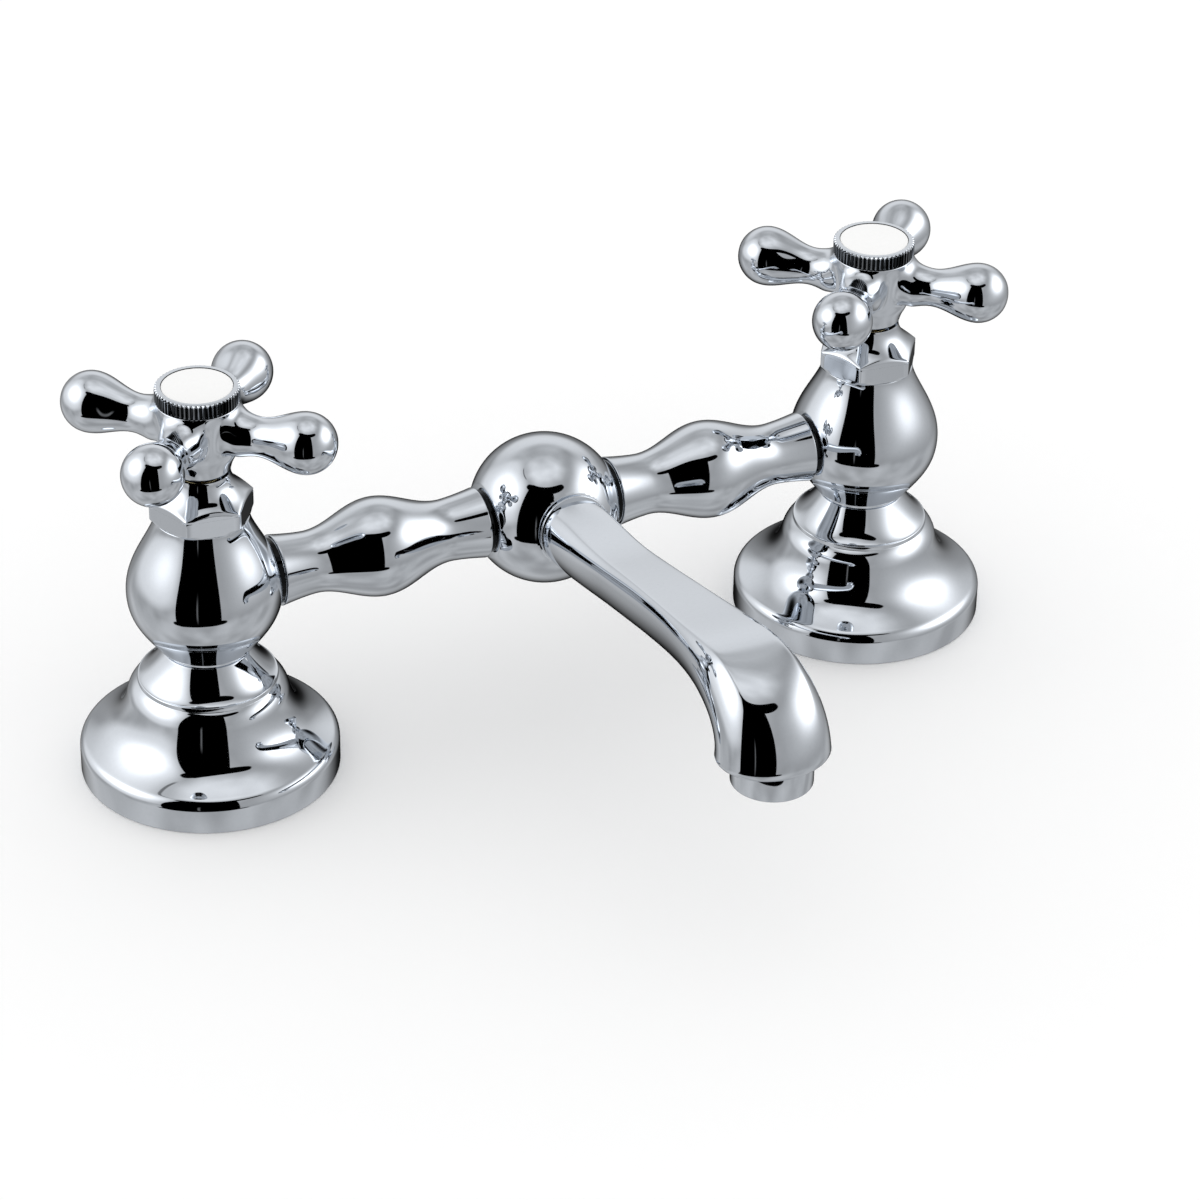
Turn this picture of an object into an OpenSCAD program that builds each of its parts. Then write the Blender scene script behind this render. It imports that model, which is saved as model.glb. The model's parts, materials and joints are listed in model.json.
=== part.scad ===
// Bridge basin tap: two valve bodies joined by a turned bridge, one cast spout and two cross handles.
// Millimetres. Z points up and the mounting surface is z = 0.
// The bridge runs along X, the spout points to -Y, the hot side is at -X and the cold side at +X.

/* [Overall] */
// Distance between the centres of the two inlets
centres = 203.2; // [170:0.1:260]
// Height of the bridge's axis above the mounting surface
axis_h = 56.5; // [50:0.5:70]

/* [Flange] */
// Radius of the flange at its rim
flange_r = 35.9; // [33:0.1:42]
// Width of the flange's foot
rim_w = 5.6; // [5:0.1:7]
// Height of the plain band at the flange's rim
band_h = 5.4; // [3:0.1:8]
// Rounding between the band and the bell
band_round = 3; // [1:0.1:4]
// Slope of the bell at its foot, in degrees from the upright
bell_slope = 53; // [45:1:60]
// Radius of the flange's shoulder, where the bell ends
shoulder_r = 22.4; // [21.5:0.1:25]
// Height of the shoulder from its widest line to the lip
shoulder_h = 6.5; // [5:0.1:8]
// Turn of the shoulder from its widest line to the lip, in degrees
shoulder_turn = 54; // [40:1:60]
// Radius of the lip between the shoulder and the cone
lip_r = 19.3; // [18.5:0.1:20.5]
// Height of the lip
lip_h = 1.3; // [0.8:0.1:2]
// Rounding of the lip's upper edge
lip_round = 0.4; // [0.2:0.1:0.6]
// Height of the flange's cone above the lip
flange_cone_h = 8.2; // [7:0.1:10]
// Width of the flat at the top of the flange's cone
flange_land = 0.3; // [0.2:0.1:0.8]
// Wall of the flange's shell
flange_wall = 2; // [1.5:0.1:2.6]
// Depth of the boss inside the flange's cone
flange_boss_l = 3; // [2:0.1:4]
// Width of the seal ring under the rim
gasket_w = 2.6; // [2:0.1:3.2]
// Thickness of the seal ring under the rim
gasket_t = 1.6; // [1:0.1:2.5]

/* [Valve body] */
// Radius of the valve body's inlet neck
neck_r = 11.75; // [11:0.05:13]
// Radius of the valve body's bulb
body_r = 21.3; // [20.5:0.1:24]
// Drop from the bridge's axis to the top of the flange
body_low = 18.9; // [18.4:0.1:20]
// Drop from the bridge's axis to the bulb's lower edge
edge_drop = 17; // [16:0.1:17.6]
// Radius of the bulb's lower edge
edge_r = 13.5; // [13:0.1:15]
// Depth of the undercut below the bulb's lower edge
undercut_h = 0.8; // [0.4:0.1:0.9]
// Height from the bridge's axis to the seat of the cover nut
body_high = 22.9; // [22:0.1:27]
// Radius of the seat of the cover nut
body_top_r = 12.9; // [12.4:0.1:14]
// Wall radius of the threaded inlet
inlet_r = 9.3; // [8:0.1:9.8]
// Depth of the threaded inlet
inlet_depth = 14; // [10:0.5:20]
// Radius of the water passages in the castings
waterway_r = 5.5; // [4:0.1:6]
// How fast the bulb draws in above the bridge's axis: 1 is full, more is slimmer
bulb_draw = 1.5; // [1:0.05:2]

/* [Cover nut] */
// Distance across the flats of the cover nut
nut_flats = 25.3; // [24:0.1:28]
// Height of the hexagon at its corners
hex_h = 5.7; // [4:0.1:7]
// Height of the flared cone above the hexagon
cone_h = 8.4; // [7:0.1:12]
// Turn of the hexagon's corners past the handle's arms at rest, in degrees
nut_turn = 8; // [0:1:30]
// Chamfer round the foot of the hexagon
nut_chamfer = 0.9; // [0.4:0.1:1.5]
// Radius of the cone at its top
cone_top_r = 8.2; // [7.5:0.1:9]
// Radius of the nut's threaded sleeve inside the valve body
sleeve_r = 10.4; // [10:0.1:10.8]
// Depth of the nut's threaded sleeve inside the valve body
sleeve_depth = 6.8; // [5:0.1:7.5]

/* [Cross handle] */
// Gap between the cover nut and the handle's hub
hub_gap = 1; // [0.4:0.1:2]
// Radius of the hub at its foot
hub_foot_r = 8.4; // [7.8:0.1:9.5]
// Radius of the hub at its widest
hub_r = 11.3; // [10.6:0.1:13]
// Height of the hub
hub_h = 19.7; // [18:0.1:23]
// Height of the arms' axes above the hub's foot
arm_rise = 13.5; // [12:0.1:14]
// Distance from the handle's axis to the centre of an arm's ball end
arm_reach = 29.8; // [26:0.1:36]
// Radius of the ball ends
ball_end_r = 8.3; // [7:0.1:9.5]
// Radius of an arm at its waist
waist_r = 4.95; // [4.2:0.05:5.6]
// Distance from the handle's axis to an arm's waist
waist_at = 16.4; // [14.5:0.1:18]
// Radius of an arm where it leaves the hub
arm_root_r = 9; // [7:0.1:10]

/* [Index cap] */
// Outer radius of the milled cap
cap_r = 11.4; // [11:0.1:12.5]
// Height of the milled cap
cap_h = 4.9; // [4:0.1:6]
// Height of the cap's plain rim above its flutes
cap_rim_h = 1.4; // [1:0.1:1.8]
// Number of flutes round the cap
flutes = 56; // [40:1:72]
// Depth of the flutes
flute_depth = 0.45; // [0.2:0.05:0.6]
// Radius of the white index button
button_r = 9.5; // [8.5:0.1:9.8]
// Thickness of the index button at its edge
button_t = 1.1; // [0.8:0.1:1.4]
// Height of the index button's crown
button_crown = 0.35; // [0.1:0.05:0.6]

/* [Valve mechanism] */
// Radius of the spindle's stem
stem_r = 4; // [3.6:0.1:4.2]
// Length of the toothed end of the spindle
spline_h = 9.5; // [7:0.1:10.5]
// Number of teeth on the spindle
spline_teeth = 20; // [16:1:24]
// Depth of the spindle's teeth
spline_depth = 0.35; // [0.2:0.05:0.4]
// Outer radius of the cartridge
cartridge_r = 8.9; // [8.7:0.1:9.1]
// Wall of the cartridge's sleeve
cartridge_wall = 0.9; // [0.8:0.05:1.1]
// Depth of the cartridge's seat below the bridge's axis
seat_drop = 12.5; // [11.5:0.1:13]
// Thickness of each ceramic disc
disc_t = 3; // [2.5:0.1:3.3]
// Thickness of the seal under the ceramic discs
seat_seal_t = 2.1; // [1.6:0.1:2.4]
// Height of the cartridge's side windows
window_h = 6; // [4:0.1:6.5]
// Width of the cartridge's side windows
window_w = 8; // [5:0.1:9]
// Section radius of the spindle's seal ring
stem_seal_r = 0.75; // [0.6:0.05:0.9]
// Shank radius of the handle screw
screw_r = 2; // [1.5:0.1:2.2]
// Head radius of the handle screw
screw_head_r = 3.8; // [3.2:0.1:4.2]

/* [Bridge] */
// Radius of the centre body
ball_r = 21.2; // [20.5:0.1:24]
// Radius of the bridge's rings and of the spout's ring
ring_r = 10.4; // [10:0.1:10.6]
// Width of the rings
ring_w = 1.3; // [0.8:0.1:2]
// Radius of the bridge arms beside their rings
arm_end_r = 10.1; // [9.6:0.1:10.4]
// Radius of the bridge arms at their waists
arm_waist_r = 8.75; // [8.4:0.05:9.5]
// Radius of the bridge arms at their middle
arm_bulge_r = 13.9; // [11:0.1:15]
// Distance from a bridge arm's end to its waist
arm_foot = 12.1; // [8:0.1:16]
// Radius of the spigots at the ends of the bridge arms
spigot_r = 7.5; // [7.2:0.1:7.8]
// Length of the spigots
spigot_l = 6.4; // [5:0.1:7]
// Radius of the water passage in the bridge arms
tube_r = 4.5; // [3.5:0.1:5]
// Section radius of the seal rings
seal_r = 0.9; // [0.7:0.05:1]

/* [Spout] */
// Distance from the bridge's axis to the outlet's axis
spout_reach = 138; // [120:0.5:180]
// Rise of the spout's mouth above the bridge's axis
mouth_rise = 2.3; // [-8:0.1:6]
// Distance from the outlet's axis back to the crest of the spout
crest_back = 25.4; // [22:0.1:32]
// Rise of the spout's centre line at its crest above the bridge's axis
crest_rise = 18; // [16:0.1:22]
// Tilt of the spout where it leaves the centre body
root_tilt = 9; // [6:0.5:12]
// Radius of the spout's spigot in the centre body
spout_spigot_r = 8; // [7.6:0.1:8.4]
// Half width of the spout along its stem
stem_half_w = 8.7; // [8.2:0.1:11]
// Half width of the spout at its mouth
mouth_half_w = 15.6; // [14:0.1:18]
// Height of the spout's flat top above its centre line along the stem
stem_up = 7; // [6.6:0.1:9]
// Depth of the spout's underside below its centre line along the stem
stem_down = 8.4; // [7.8:0.1:10]
// Half depth of the spout at its mouth
mouth_half_t = 12.8; // [12.2:0.1:16]
// Rounding of the mouth's lower edge
mouth_round = 1.6; // [0.8:0.1:2]

/* [Aerator] */
// Outer radius of the aerator
aerator_r = 10.84; // [10.4:0.01:11.5]
// Height of the aerator below the mouth
aerator_h = 7.5; // [5:0.1:9]
// Radius of the aerator's threaded sleeve
aerator_sleeve_r = 9.4; // [9:0.1:9.8]
// Length of the aerator's threaded sleeve
aerator_sleeve_h = 6.5; // [5:0.1:7.5]
// Wall of the aerator
aerator_wall = 1.2; // [1:0.1:1.5]
// Radius of the holes in the aerator's insert
jet_r = 0.95; // [0.6:0.05:1.1]

/* [Fits] */
// Radial clearance of the turning spindle and disc
running = 0.05; // [0.03:0.01:0.08]
// Radial clearance of spigots, threads and seats
slip = 0.1; // [0.05:0.01:0.15]
// Gap between faces that are drawn together
seam = 0.05; // [0.02:0.01:0.1]

/* [Hidden] */
$fn = 96;

chrome = [0.80, 0.81, 0.83];
brass = [0.80, 0.66, 0.35];
steel = [0.62, 0.63, 0.65];
rubber = [0.10, 0.10, 0.10];
porcelain = [0.96, 0.96, 0.94];
ceramic = [0.86, 0.84, 0.80];
plastic = [0.75, 0.76, 0.78];

// Heights of the flange
flange_top = axis_h - body_low - seam;
lip_top = flange_top - flange_cone_h;
lip_foot = lip_top - lip_h;
shoulder_z = lip_foot - shoulder_h;
shoulder_in = (shoulder_r - lip_r) / (1 - cos(shoulder_turn));
shoulder_up = shoulder_h / sin(shoulder_turn);
bell_foot_z = band_h + band_round * sin(bell_slope);
flange_bore_r = neck_r + slip;
flange_boss_r = flange_bore_r + flange_wall;
rim_inner_r = flange_r - rim_w;
gasket_mid_r = (flange_r + rim_inner_r) / 2;

// Heights of the valve body and its cover nut
nut_z = axis_h + body_high;
nut_top = nut_z + hex_h + cone_h;
sleeve_z = nut_z - sleeve_depth;
socket_r = sleeve_r + slip;
cavity_r = cartridge_r + slip;
nut_corner_r = nut_flats / 2 / cos(30);
bulb_face = sqrt(body_r * body_r - ring_r * ring_r);

// Heights of the valve mechanism
seat_z = axis_h - seat_drop;
bore_r = cartridge_r - cartridge_wall;
fixed_z = seat_z + seat_seal_t + 2 * seam;
moving_z = fixed_z + disc_t + seam;
slot_depth = disc_t / 2;
bar_z = moving_z + disc_t + seam;
bar_h = 2.2;
bar_l = 2 * bore_r - 3;
bar_w = 4.4;
ceiling_z = bar_z + window_h + 3;
collar_h = 1.6;
shelf_z = sleeve_z - 2.6;
shelf_h = 2.6 - 2 * seam;
head_top = shelf_z + seam + shelf_h;
clip_h = 0.8;
clip_gap = 0.3;
clip_z = head_top + clip_gap;
clip_r = stem_r + 2;
clip_groove_r = stem_r - 0.8;
nut_bore_r = stem_r + 0.5;
nut_cavity_r = clip_r + 1.2;
stem_seal_z = (ceiling_z + head_top) / 2;

// Heights of the handle
hub_z = nut_top + hub_gap;
arm_z = hub_z + arm_rise;
hub_top = hub_z + hub_h;
spline_z = hub_z + 1;
spline_top = spline_z + spline_h;
socket_top = spline_top + 0.3;
web_top = socket_top + 2.4;
head_z = web_top + seam;
screw_head_h = 2.4;
screw_l = 10;
cap_z = hub_top + seam;
cap_top = cap_z + cap_h;
cap_spigot_r = button_r - 1;
cap_spigot_l = 3.2;
cap_recess_z = cap_top - button_t - 0.2;
cap_socket_r = cap_spigot_r + slip;
cap_socket_z = cap_z - cap_spigot_l - 0.3;

// Lengths of the bridge
ball_face = sqrt(ball_r * ball_r - ring_r * ring_r);
arm_x0 = ball_face + seam;
arm_x1 = centres / 2 - bulb_face - seam;
arm_half = (arm_x1 - arm_x0) / 2;
arm_mid = (arm_x1 + arm_x0) / 2;
groove_w = 0.5;
groove_r = arm_end_r - 0.5;
seal_groove = 2 * seal_r + 0.2;
seal_mid_r = spigot_r + slip - seal_r - 0.02;
seal_bed_r = seal_mid_r - seal_r - 0.02;
seal_at = spigot_l / 2;

// Path of the spout, as distances forward and up from the centre of the ball
mouth_z = axis_h + mouth_rise;
root_p = [ball_face * cos(root_tilt), ball_face * sin(root_tilt)];
crest_p = [spout_reach - crest_back, crest_rise];
mouth_p = [spout_reach, mouth_rise];
root_d = [cos(root_tilt), sin(root_tilt)];
stem_len = crest_p[0] - root_p[0];
drop_len = (crest_rise - mouth_rise) * 0.8;
lip_t = 2 - mouth_round / (3 * drop_len);
mouth_seal_h = 1.8;
cup_r = aerator_sleeve_r + slip;
cup_h = aerator_sleeve_h + mouth_seal_h + 3 * seam;

// Eases from 0 to 1
function ease(t) = (1 - cos(180 * t)) / 2;

// Mixes two values
function mix(a, b, t) = a + (b - a) * t;

// Point of a cubic curve
function bezier(a, b, c, d, t) =
  a * pow(1 - t, 3) + 3 * b * t * pow(1 - t, 2) + 3 * c * t * t * (1 - t) + d * pow(t, 3);

// Point of the flange's bell between its foot and its top, both given as radius and height
function bell_point(foot, top, t) =
  let (corner = [top[0], foot[1] + (foot[0] - top[0]) / tan(bell_slope)])
  bezier(foot, mix(foot, corner, 0.68), mix(top, corner, 0.9), top, t);

// Point of the flange's shoulder, drawn in by a wall
function shoulder_point(t, wall) = [
  shoulder_r - wall - shoulder_in * (1 - cos(shoulder_turn * t)),
  shoulder_z + (shoulder_up - wall) * sin(shoulder_turn * t)
];

// Point of the flange's cone, which flares at the lip
function cone_point(t) = [
  mix(lip_r - lip_round, flange_bore_r + flange_land, bezier(0, 0.23, 0.66, 1, t)),
  mix(lip_top, flange_top, bezier(0, 0.09, 0.49, 1, t))
];

// Outline of the flange's shell, outside from the bottom up and inside from the top down
function flange_outline() = concat(
  [[rim_inner_r, 0], [flange_r, 0]],
  [for (i = [0:6]) let (turn = bell_slope * i / 6) [
    flange_r - band_round * (1 - cos(turn)),
    band_h + band_round * sin(turn)
  ]],
  [for (i = [1:20]) bell_point(
    [flange_r - band_round * (1 - cos(bell_slope)), bell_foot_z],
    shoulder_point(0, 0),
    i / 20
  )],
  [for (i = [1:10]) shoulder_point(i / 10, 0)],
  [for (i = [0:3]) [
    lip_r - lip_round * (1 - cos(30 * i)),
    lip_top - lip_round * (1 - sin(30 * i))
  ]],
  [for (i = [1:12]) cone_point(i / 12)],
  [[flange_bore_r, flange_top], [flange_bore_r, lip_foot - flange_boss_l]],
  [[flange_boss_r, lip_foot - flange_boss_l], [flange_boss_r, shoulder_point(1, flange_wall)[1]]],
  [for (i = [10:-1:1]) shoulder_point(i / 10, flange_wall)],
  [for (i = [20:-1:0]) bell_point([rim_inner_r, bell_foot_z], shoulder_point(0, flange_wall), i / 20)]
);

// Outline of the valve body, half of its section
function bulb_outline() = concat(
  [[0, 0], [neck_r, 0], [neck_r, axis_h - edge_drop - undercut_h]],
  [for (i = [0:20]) [
    mix(edge_r, body_r, bezier(0, 0.64, 1, 1, i / 20)),
    axis_h - edge_drop * bezier(1, 0.6, 0.41, 0, i / 20)
  ]],
  [for (i = [1:24]) [
    mix(body_top_r, body_r, pow(max(0, cos(3.75 * i)), bulb_draw)),
    axis_h + body_high * i / 24
  ]],
  [[0, nut_z]]
);

// Outline of the cover nut above the valve body
function nut_outline() = concat(
  [[0, nut_z + seam], [nut_corner_r - nut_chamfer, nut_z + seam]],
  [[nut_corner_r + 0.01, nut_z + nut_chamfer], [nut_corner_r + 0.01, nut_z + hex_h]],
  [for (i = [0:12]) [
    cone_top_r + (nut_corner_r - cone_top_r) * pow(1 - i / 12, 2.1),
    nut_z + hex_h + cone_h * i / 12
  ]],
  [[0, nut_top]]
);

// Outline of the handle's hub
function hub_outline() = concat(
  [[0, hub_z], [hub_foot_r - 0.4, hub_z], [hub_foot_r, hub_z + 0.4]],
  [for (i = [1:12]) [
    mix(hub_foot_r, hub_r, ease(min(1, i / 10))),
    hub_z + 0.4 + (hub_h - 1.6) * i / 12
  ]],
  [for (i = [1:4]) [
    hub_r - 1.2 * (1 - cos(22.5 * i)),
    hub_top - 1.2 + 1.2 * sin(22.5 * i)
  ]],
  [[0, hub_top]]
);

// Outline of one arm of the handle along its own axis
function handle_arm_outline() = concat(
  [[0, 0]],
  [[arm_root_r, 0]],
  [for (i = [0:7]) [
    waist_r + (arm_root_r - waist_r) * pow(1 - i / 7, 2.4),
    mix(hub_r - 2.5, waist_at, i / 7)
  ]],
  [for (i = [1:9]) [
    mix(waist_r, ball_end_r, ease(i / 9)),
    mix(waist_at, arm_reach, i / 9)
  ]],
  [for (i = [1:9]) [
    ball_end_r * cos(10 * i),
    arm_reach + ball_end_r * sin(10 * i)
  ]]
);

// Radius of a bridge arm at a distance from its middle
arm_waist = arm_half - arm_foot;
function bridge_r(x) = abs(x) < arm_waist
  ? mix(arm_waist_r, arm_bulge_r, pow(cos(90 * abs(x) / arm_waist), 2))
  : mix(arm_waist_r, arm_end_r, pow((abs(x) - arm_waist) / arm_foot, 1.5));

// Outline of a toothed wheel
function toothed(r, depth, count) = [
  for (i = [0:2 * count - 1]) let (q = i % 2 == 0 ? r : r - depth) [
    q * cos(180 * i / count),
    q * sin(180 * i / count)
  ]
];

// Places a piece on the hot side, or turned half round on the cold side
module on_side(cold) {
  translate([(cold ? 1 : -1) * centres / 2, 0, 0])
    rotate([0, 0, cold ? 180 : 0])
      children();
}

// A straight bore or rod between two points
module rod(a, b, r) {
  d = b - a;
  translate(a)
    rotate([0, acos(d[2] / norm(d)), atan2(d[1], d[0])])
      cylinder(r = r, h = norm(d));
}

module flange() {
  difference() {
    rotate_extrude()
      polygon(flange_outline());
    difference() {
      translate([0, 0, -1])
        cylinder(r = gasket_mid_r + gasket_w / 2 + slip, h = gasket_t + 1);
      translate([0, 0, -2])
        cylinder(r = gasket_mid_r - gasket_w / 2 - slip, h = gasket_t + 3);
    }
  }
}

module flange_gasket() {
  difference() {
    cylinder(r = gasket_mid_r + gasket_w / 2, h = gasket_t - seam);
    translate([0, 0, -1])
      cylinder(r = gasket_mid_r - gasket_w / 2, h = gasket_t + 2);
  }
}

// Socket for a spigot: a flat seat, a bore and the water passage behind it
module spigot_socket(face, r) {
  translate([0, 0, face])
    cylinder(r = ring_r + 2, h = 20);
  translate([0, 0, face - spigot_l - 0.4])
    cylinder(r = r + slip, h = spigot_l + 1);
}

module valve_body() {
  difference() {
    rotate_extrude()
      polygon(bulb_outline());
    translate([0, 0, -1])
      cylinder(r = inlet_r, h = inlet_depth + 1);
    cylinder(r = waterway_r, h = seat_z + 1);
    translate([0, 0, seat_z])
      cylinder(r = cavity_r, h = body_high + seat_drop);
    translate([0, 0, shelf_z])
      cylinder(r = socket_r, h = body_high + 20);
    translate([0, 0, axis_h])
      rotate([0, 90, 0])
        cylinder(r = waterway_r, h = bulb_face);
    translate([0, 0, axis_h])
      rotate([0, 90, 0])
        spigot_socket(bulb_face, spigot_r);
  }
}

module cover_nut() {
  difference() {
    union() {
      intersection() {
        rotate_extrude()
          polygon(nut_outline());
        rotate([0, 0, 45 + nut_turn])
          cylinder(r = nut_corner_r, h = nut_top + 10, $fn = 6);
      }
      translate([0, 0, sleeve_z])
        cylinder(r = sleeve_r, h = sleeve_depth + 1);
    }
    translate([0, 0, sleeve_z - 1])
      cylinder(r = nut_cavity_r, h = nut_z - sleeve_z + 1);
    cylinder(r = nut_bore_r, h = nut_top + 1);
  }
}

module seat_seal() {
  translate([0, 0, seat_z + seam])
    difference() {
      cylinder(r = bore_r - slip, h = seat_seal_t - seam);
      translate([0, 0, -1])
        cylinder(r = waterway_r, h = seat_seal_t + 2);
    }
}

// Two opposite quarter openings of a ceramic disc
module disc_ports(h) {
  for (a = [0, 180])
    rotate([0, 0, a - 35])
      rotate_extrude(angle = 70)
        translate([2.2, 0])
          square([bore_r - 4, h]);
}

module fixed_disc() {
  translate([0, 0, fixed_z])
    difference() {
      cylinder(r = bore_r - slip, h = disc_t);
      translate([0, 0, -1])
        disc_ports(disc_t + 2);
    }
}

module moving_disc() {
  translate([0, 0, moving_z])
    difference() {
      cylinder(r = bore_r - running, h = disc_t);
      translate([0, 0, -1])
        rotate([0, 0, 90])
          disc_ports(disc_t + 2);
      translate([-bar_l / 2 - slip, -bar_w / 2 - slip, disc_t - slot_depth])
        cube([bar_l + 2 * slip, bar_w + 2 * slip, disc_t]);
    }
}

module spindle() {
  difference() {
    union() {
      translate([-bar_l / 2, -bar_w / 2, moving_z + disc_t - slot_depth + seam])
        cube([bar_l, bar_w, slot_depth + bar_h]);
      translate([0, 0, bar_z])
        cylinder(r = stem_r, h = spline_z - bar_z);
      translate([0, 0, ceiling_z - collar_h - seam])
        cylinder(r = bore_r - 1, h = collar_h);
      translate([0, 0, spline_z - 1])
        linear_extrude(spline_h + 1)
          polygon(toothed(stem_r - 0.05, spline_depth, spline_teeth));
    }
    translate([0, 0, stem_seal_z])
      ring_groove(stem_r, stem_r + running - 2 * stem_seal_r - 0.04, 2 * stem_seal_r + 0.2);
    translate([0, 0, clip_z + clip_h / 2])
      ring_groove(stem_r, clip_groove_r, clip_h + 0.1);
    translate([0, 0, spline_top - screw_l])
      cylinder(r = screw_r + slip / 2, h = screw_l + 1);
  }
}

// A groove round a shaft, centred on its own height
module ring_groove(outer, inner, width) {
  translate([0, 0, -width / 2])
    difference() {
      cylinder(r = outer + 1, h = width);
      translate([0, 0, -1])
        cylinder(r = inner, h = width + 2);
    }
}

module spindle_seal() {
  translate([0, 0, stem_seal_z])
    rotate_extrude()
      translate([stem_r + running - stem_seal_r - 0.02, 0])
        circle(r = stem_seal_r, $fn = 32);
}

module spindle_clip() {
  translate([0, 0, clip_z])
    difference() {
      cylinder(r = clip_r, h = clip_h);
      translate([0, 0, -1])
        cylinder(r = clip_groove_r + slip, h = clip_h + 2);
      translate([0, -clip_groove_r + 0.4, -1])
        cube([clip_r + 1, 2 * clip_groove_r - 0.8, clip_h + 2]);
    }
}

module cartridge_body() {
  difference() {
    union() {
      translate([0, 0, seat_z + seam])
        cylinder(r = cartridge_r, h = shelf_z - seat_z);
      translate([0, 0, shelf_z + seam])
        cylinder(r = sleeve_r - 0.2, h = shelf_h - seam);
    }
    translate([0, 0, seat_z - 1])
      cylinder(r = bore_r, h = ceiling_z - seat_z + 1);
    translate([0, 0, seat_z])
      cylinder(r = stem_r + running, h = head_top - seat_z + 1);
    translate([-cartridge_r - 1, -window_w / 2, bar_z])
      cube([2 * cartridge_r + 2, window_w, window_h]);
    translate([0, 0, stem_seal_z])
      ring_groove(cartridge_r, cavity_r - 2 * stem_seal_r - 0.04, 2 * stem_seal_r + 0.2);
  }
}

module cartridge_seal() {
  translate([0, 0, stem_seal_z])
    rotate_extrude()
      translate([cavity_r - stem_seal_r - 0.02, 0])
        circle(r = stem_seal_r, $fn = 32);
}

module cross_handle() {
  difference() {
    union() {
      rotate_extrude()
        polygon(hub_outline());
      for (a = [45:90:315])
        translate([0, 0, arm_z])
          rotate([0, 90, a])
            rotate_extrude()
              polygon(handle_arm_outline());
    }
    translate([0, 0, hub_top])
      cylinder(r = arm_reach, h = cap_h);
    translate([0, 0, hub_z - 1])
      cylinder(r = stem_r + 0.2, h = spline_z - hub_z + 1);
    translate([0, 0, hub_z])
      linear_extrude(socket_top - hub_z)
        polygon(toothed(stem_r + 0.05, spline_depth, spline_teeth));
    translate([0, 0, hub_z])
      cylinder(r = screw_r + 0.3, h = hub_h);
    translate([0, 0, web_top])
      cylinder(r = screw_head_r + 0.6, h = hub_h);
    translate([0, 0, cap_socket_z])
      cylinder(r = cap_socket_r, h = hub_h);
  }
}

module handle_screw() {
  difference() {
    union() {
      translate([0, 0, head_z])
        cylinder(r = screw_head_r, h = screw_head_h);
      translate([0, 0, spline_top - screw_l + 1])
        cylinder(r = screw_r, h = head_z - spline_top + screw_l);
    }
    for (a = [0, 90])
      translate([0, 0, head_z + screw_head_h])
        rotate([0, 0, a])
          cube([screw_head_r * 1.2, 1, 2.2], center = true);
  }
}

module index_cap() {
  difference() {
    union() {
      translate([0, 0, cap_z])
        linear_extrude(cap_h - cap_rim_h)
          polygon(toothed(cap_r - 0.1, flute_depth, flutes));
      translate([0, 0, cap_z])
        cylinder(r = cap_r - flute_depth - 0.2, h = cap_h - 0.4);
      rotate_extrude()
        polygon(concat(
          [[0, cap_top - cap_rim_h], [cap_r, cap_top - cap_rim_h]],
          [for (i = [0:6]) [
            cap_r - 0.7 * (1 - cos(15 * i)),
            cap_top - 0.7 * (1 - sin(15 * i))
          ]],
          [[0, cap_top]]
        ));
      translate([0, 0, cap_z - cap_spigot_l])
        cylinder(r = cap_spigot_r, h = cap_spigot_l + 1);
    }
    translate([0, 0, cap_recess_z])
      cylinder(r = button_r + slip, h = button_t + 1);
    translate([0, 0, cap_z - cap_spigot_l - 1])
      cylinder(r = cap_spigot_r - 1.8, h = cap_spigot_l + 2.2);
  }
}

module index_button() {
  rotate_extrude()
    polygon(concat(
      [[0, cap_recess_z + seam], [button_r, cap_recess_z + seam]],
      [for (i = [0:10]) [
        button_r * (1 - i / 10),
        cap_recess_z + button_t + button_crown * (1 - pow(1 - i / 10, 2))
      ]]
    ));
}

// One bridge arm with its two ringed ends and spigots, drawn along X about its middle
module bridge_arm() {
  translate([arm_mid, 0, axis_h])
    difference() {
      rotate([0, 90, 0])
        rotate_extrude()
          polygon(concat(
            [[0, -arm_half - spigot_l], [spigot_r, -arm_half - spigot_l], [spigot_r, -arm_half]],
            [[ring_r, -arm_half], [ring_r, -arm_half + ring_w]],
            [[groove_r, -arm_half + ring_w], [groove_r, -arm_half + ring_w + groove_w]],
            [for (i = [-32:32]) let (x = (arm_half - ring_w - groove_w) * i / 32) [bridge_r(x), x]],
            [[groove_r, arm_half - ring_w - groove_w], [groove_r, arm_half - ring_w]],
            [[ring_r, arm_half - ring_w], [ring_r, arm_half], [spigot_r, arm_half]],
            [[spigot_r, arm_half + spigot_l], [0, arm_half + spigot_l]]
          ));
      translate([-centres, 0, 0])
        rotate([0, 90, 0])
          cylinder(r = tube_r, h = 2 * centres);
      for (s = [-1, 1])
        translate([s * (arm_half + seal_at), 0, 0])
          rotate([0, 90, 0])
            ring_groove(spigot_r, seal_bed_r, seal_groove);
    }
}

module seal_ring(mid) {
  rotate_extrude()
    translate([mid, 0])
      circle(r = seal_r, $fn = 32);
}

module arm_seals() {
  for (s = [-1, 1])
    translate([arm_mid + s * (arm_half + seal_at), 0, axis_h])
      rotate([0, 90, 0])
        seal_ring(seal_mid_r);
}

// Turns +Z to the direction in which the spout leaves the centre body
module along_root() {
  translate([0, 0, axis_h])
    rotate([90 - root_tilt, 0, 0])
      children();
}

module centre_body_solid() {
  difference() {
    translate([0, 0, axis_h])
      sphere(r = ball_r);
    for (a = [-90, 90])
      translate([0, 0, axis_h])
        rotate([0, a, 0]) {
          spigot_socket(ball_face, spigot_r);
          cylinder(r = waterway_r, h = ball_face);
        }
    along_root() {
      spigot_socket(ball_face, spout_spigot_r);
      cylinder(r = waterway_r, h = ball_face);
    }
  }
}

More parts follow.
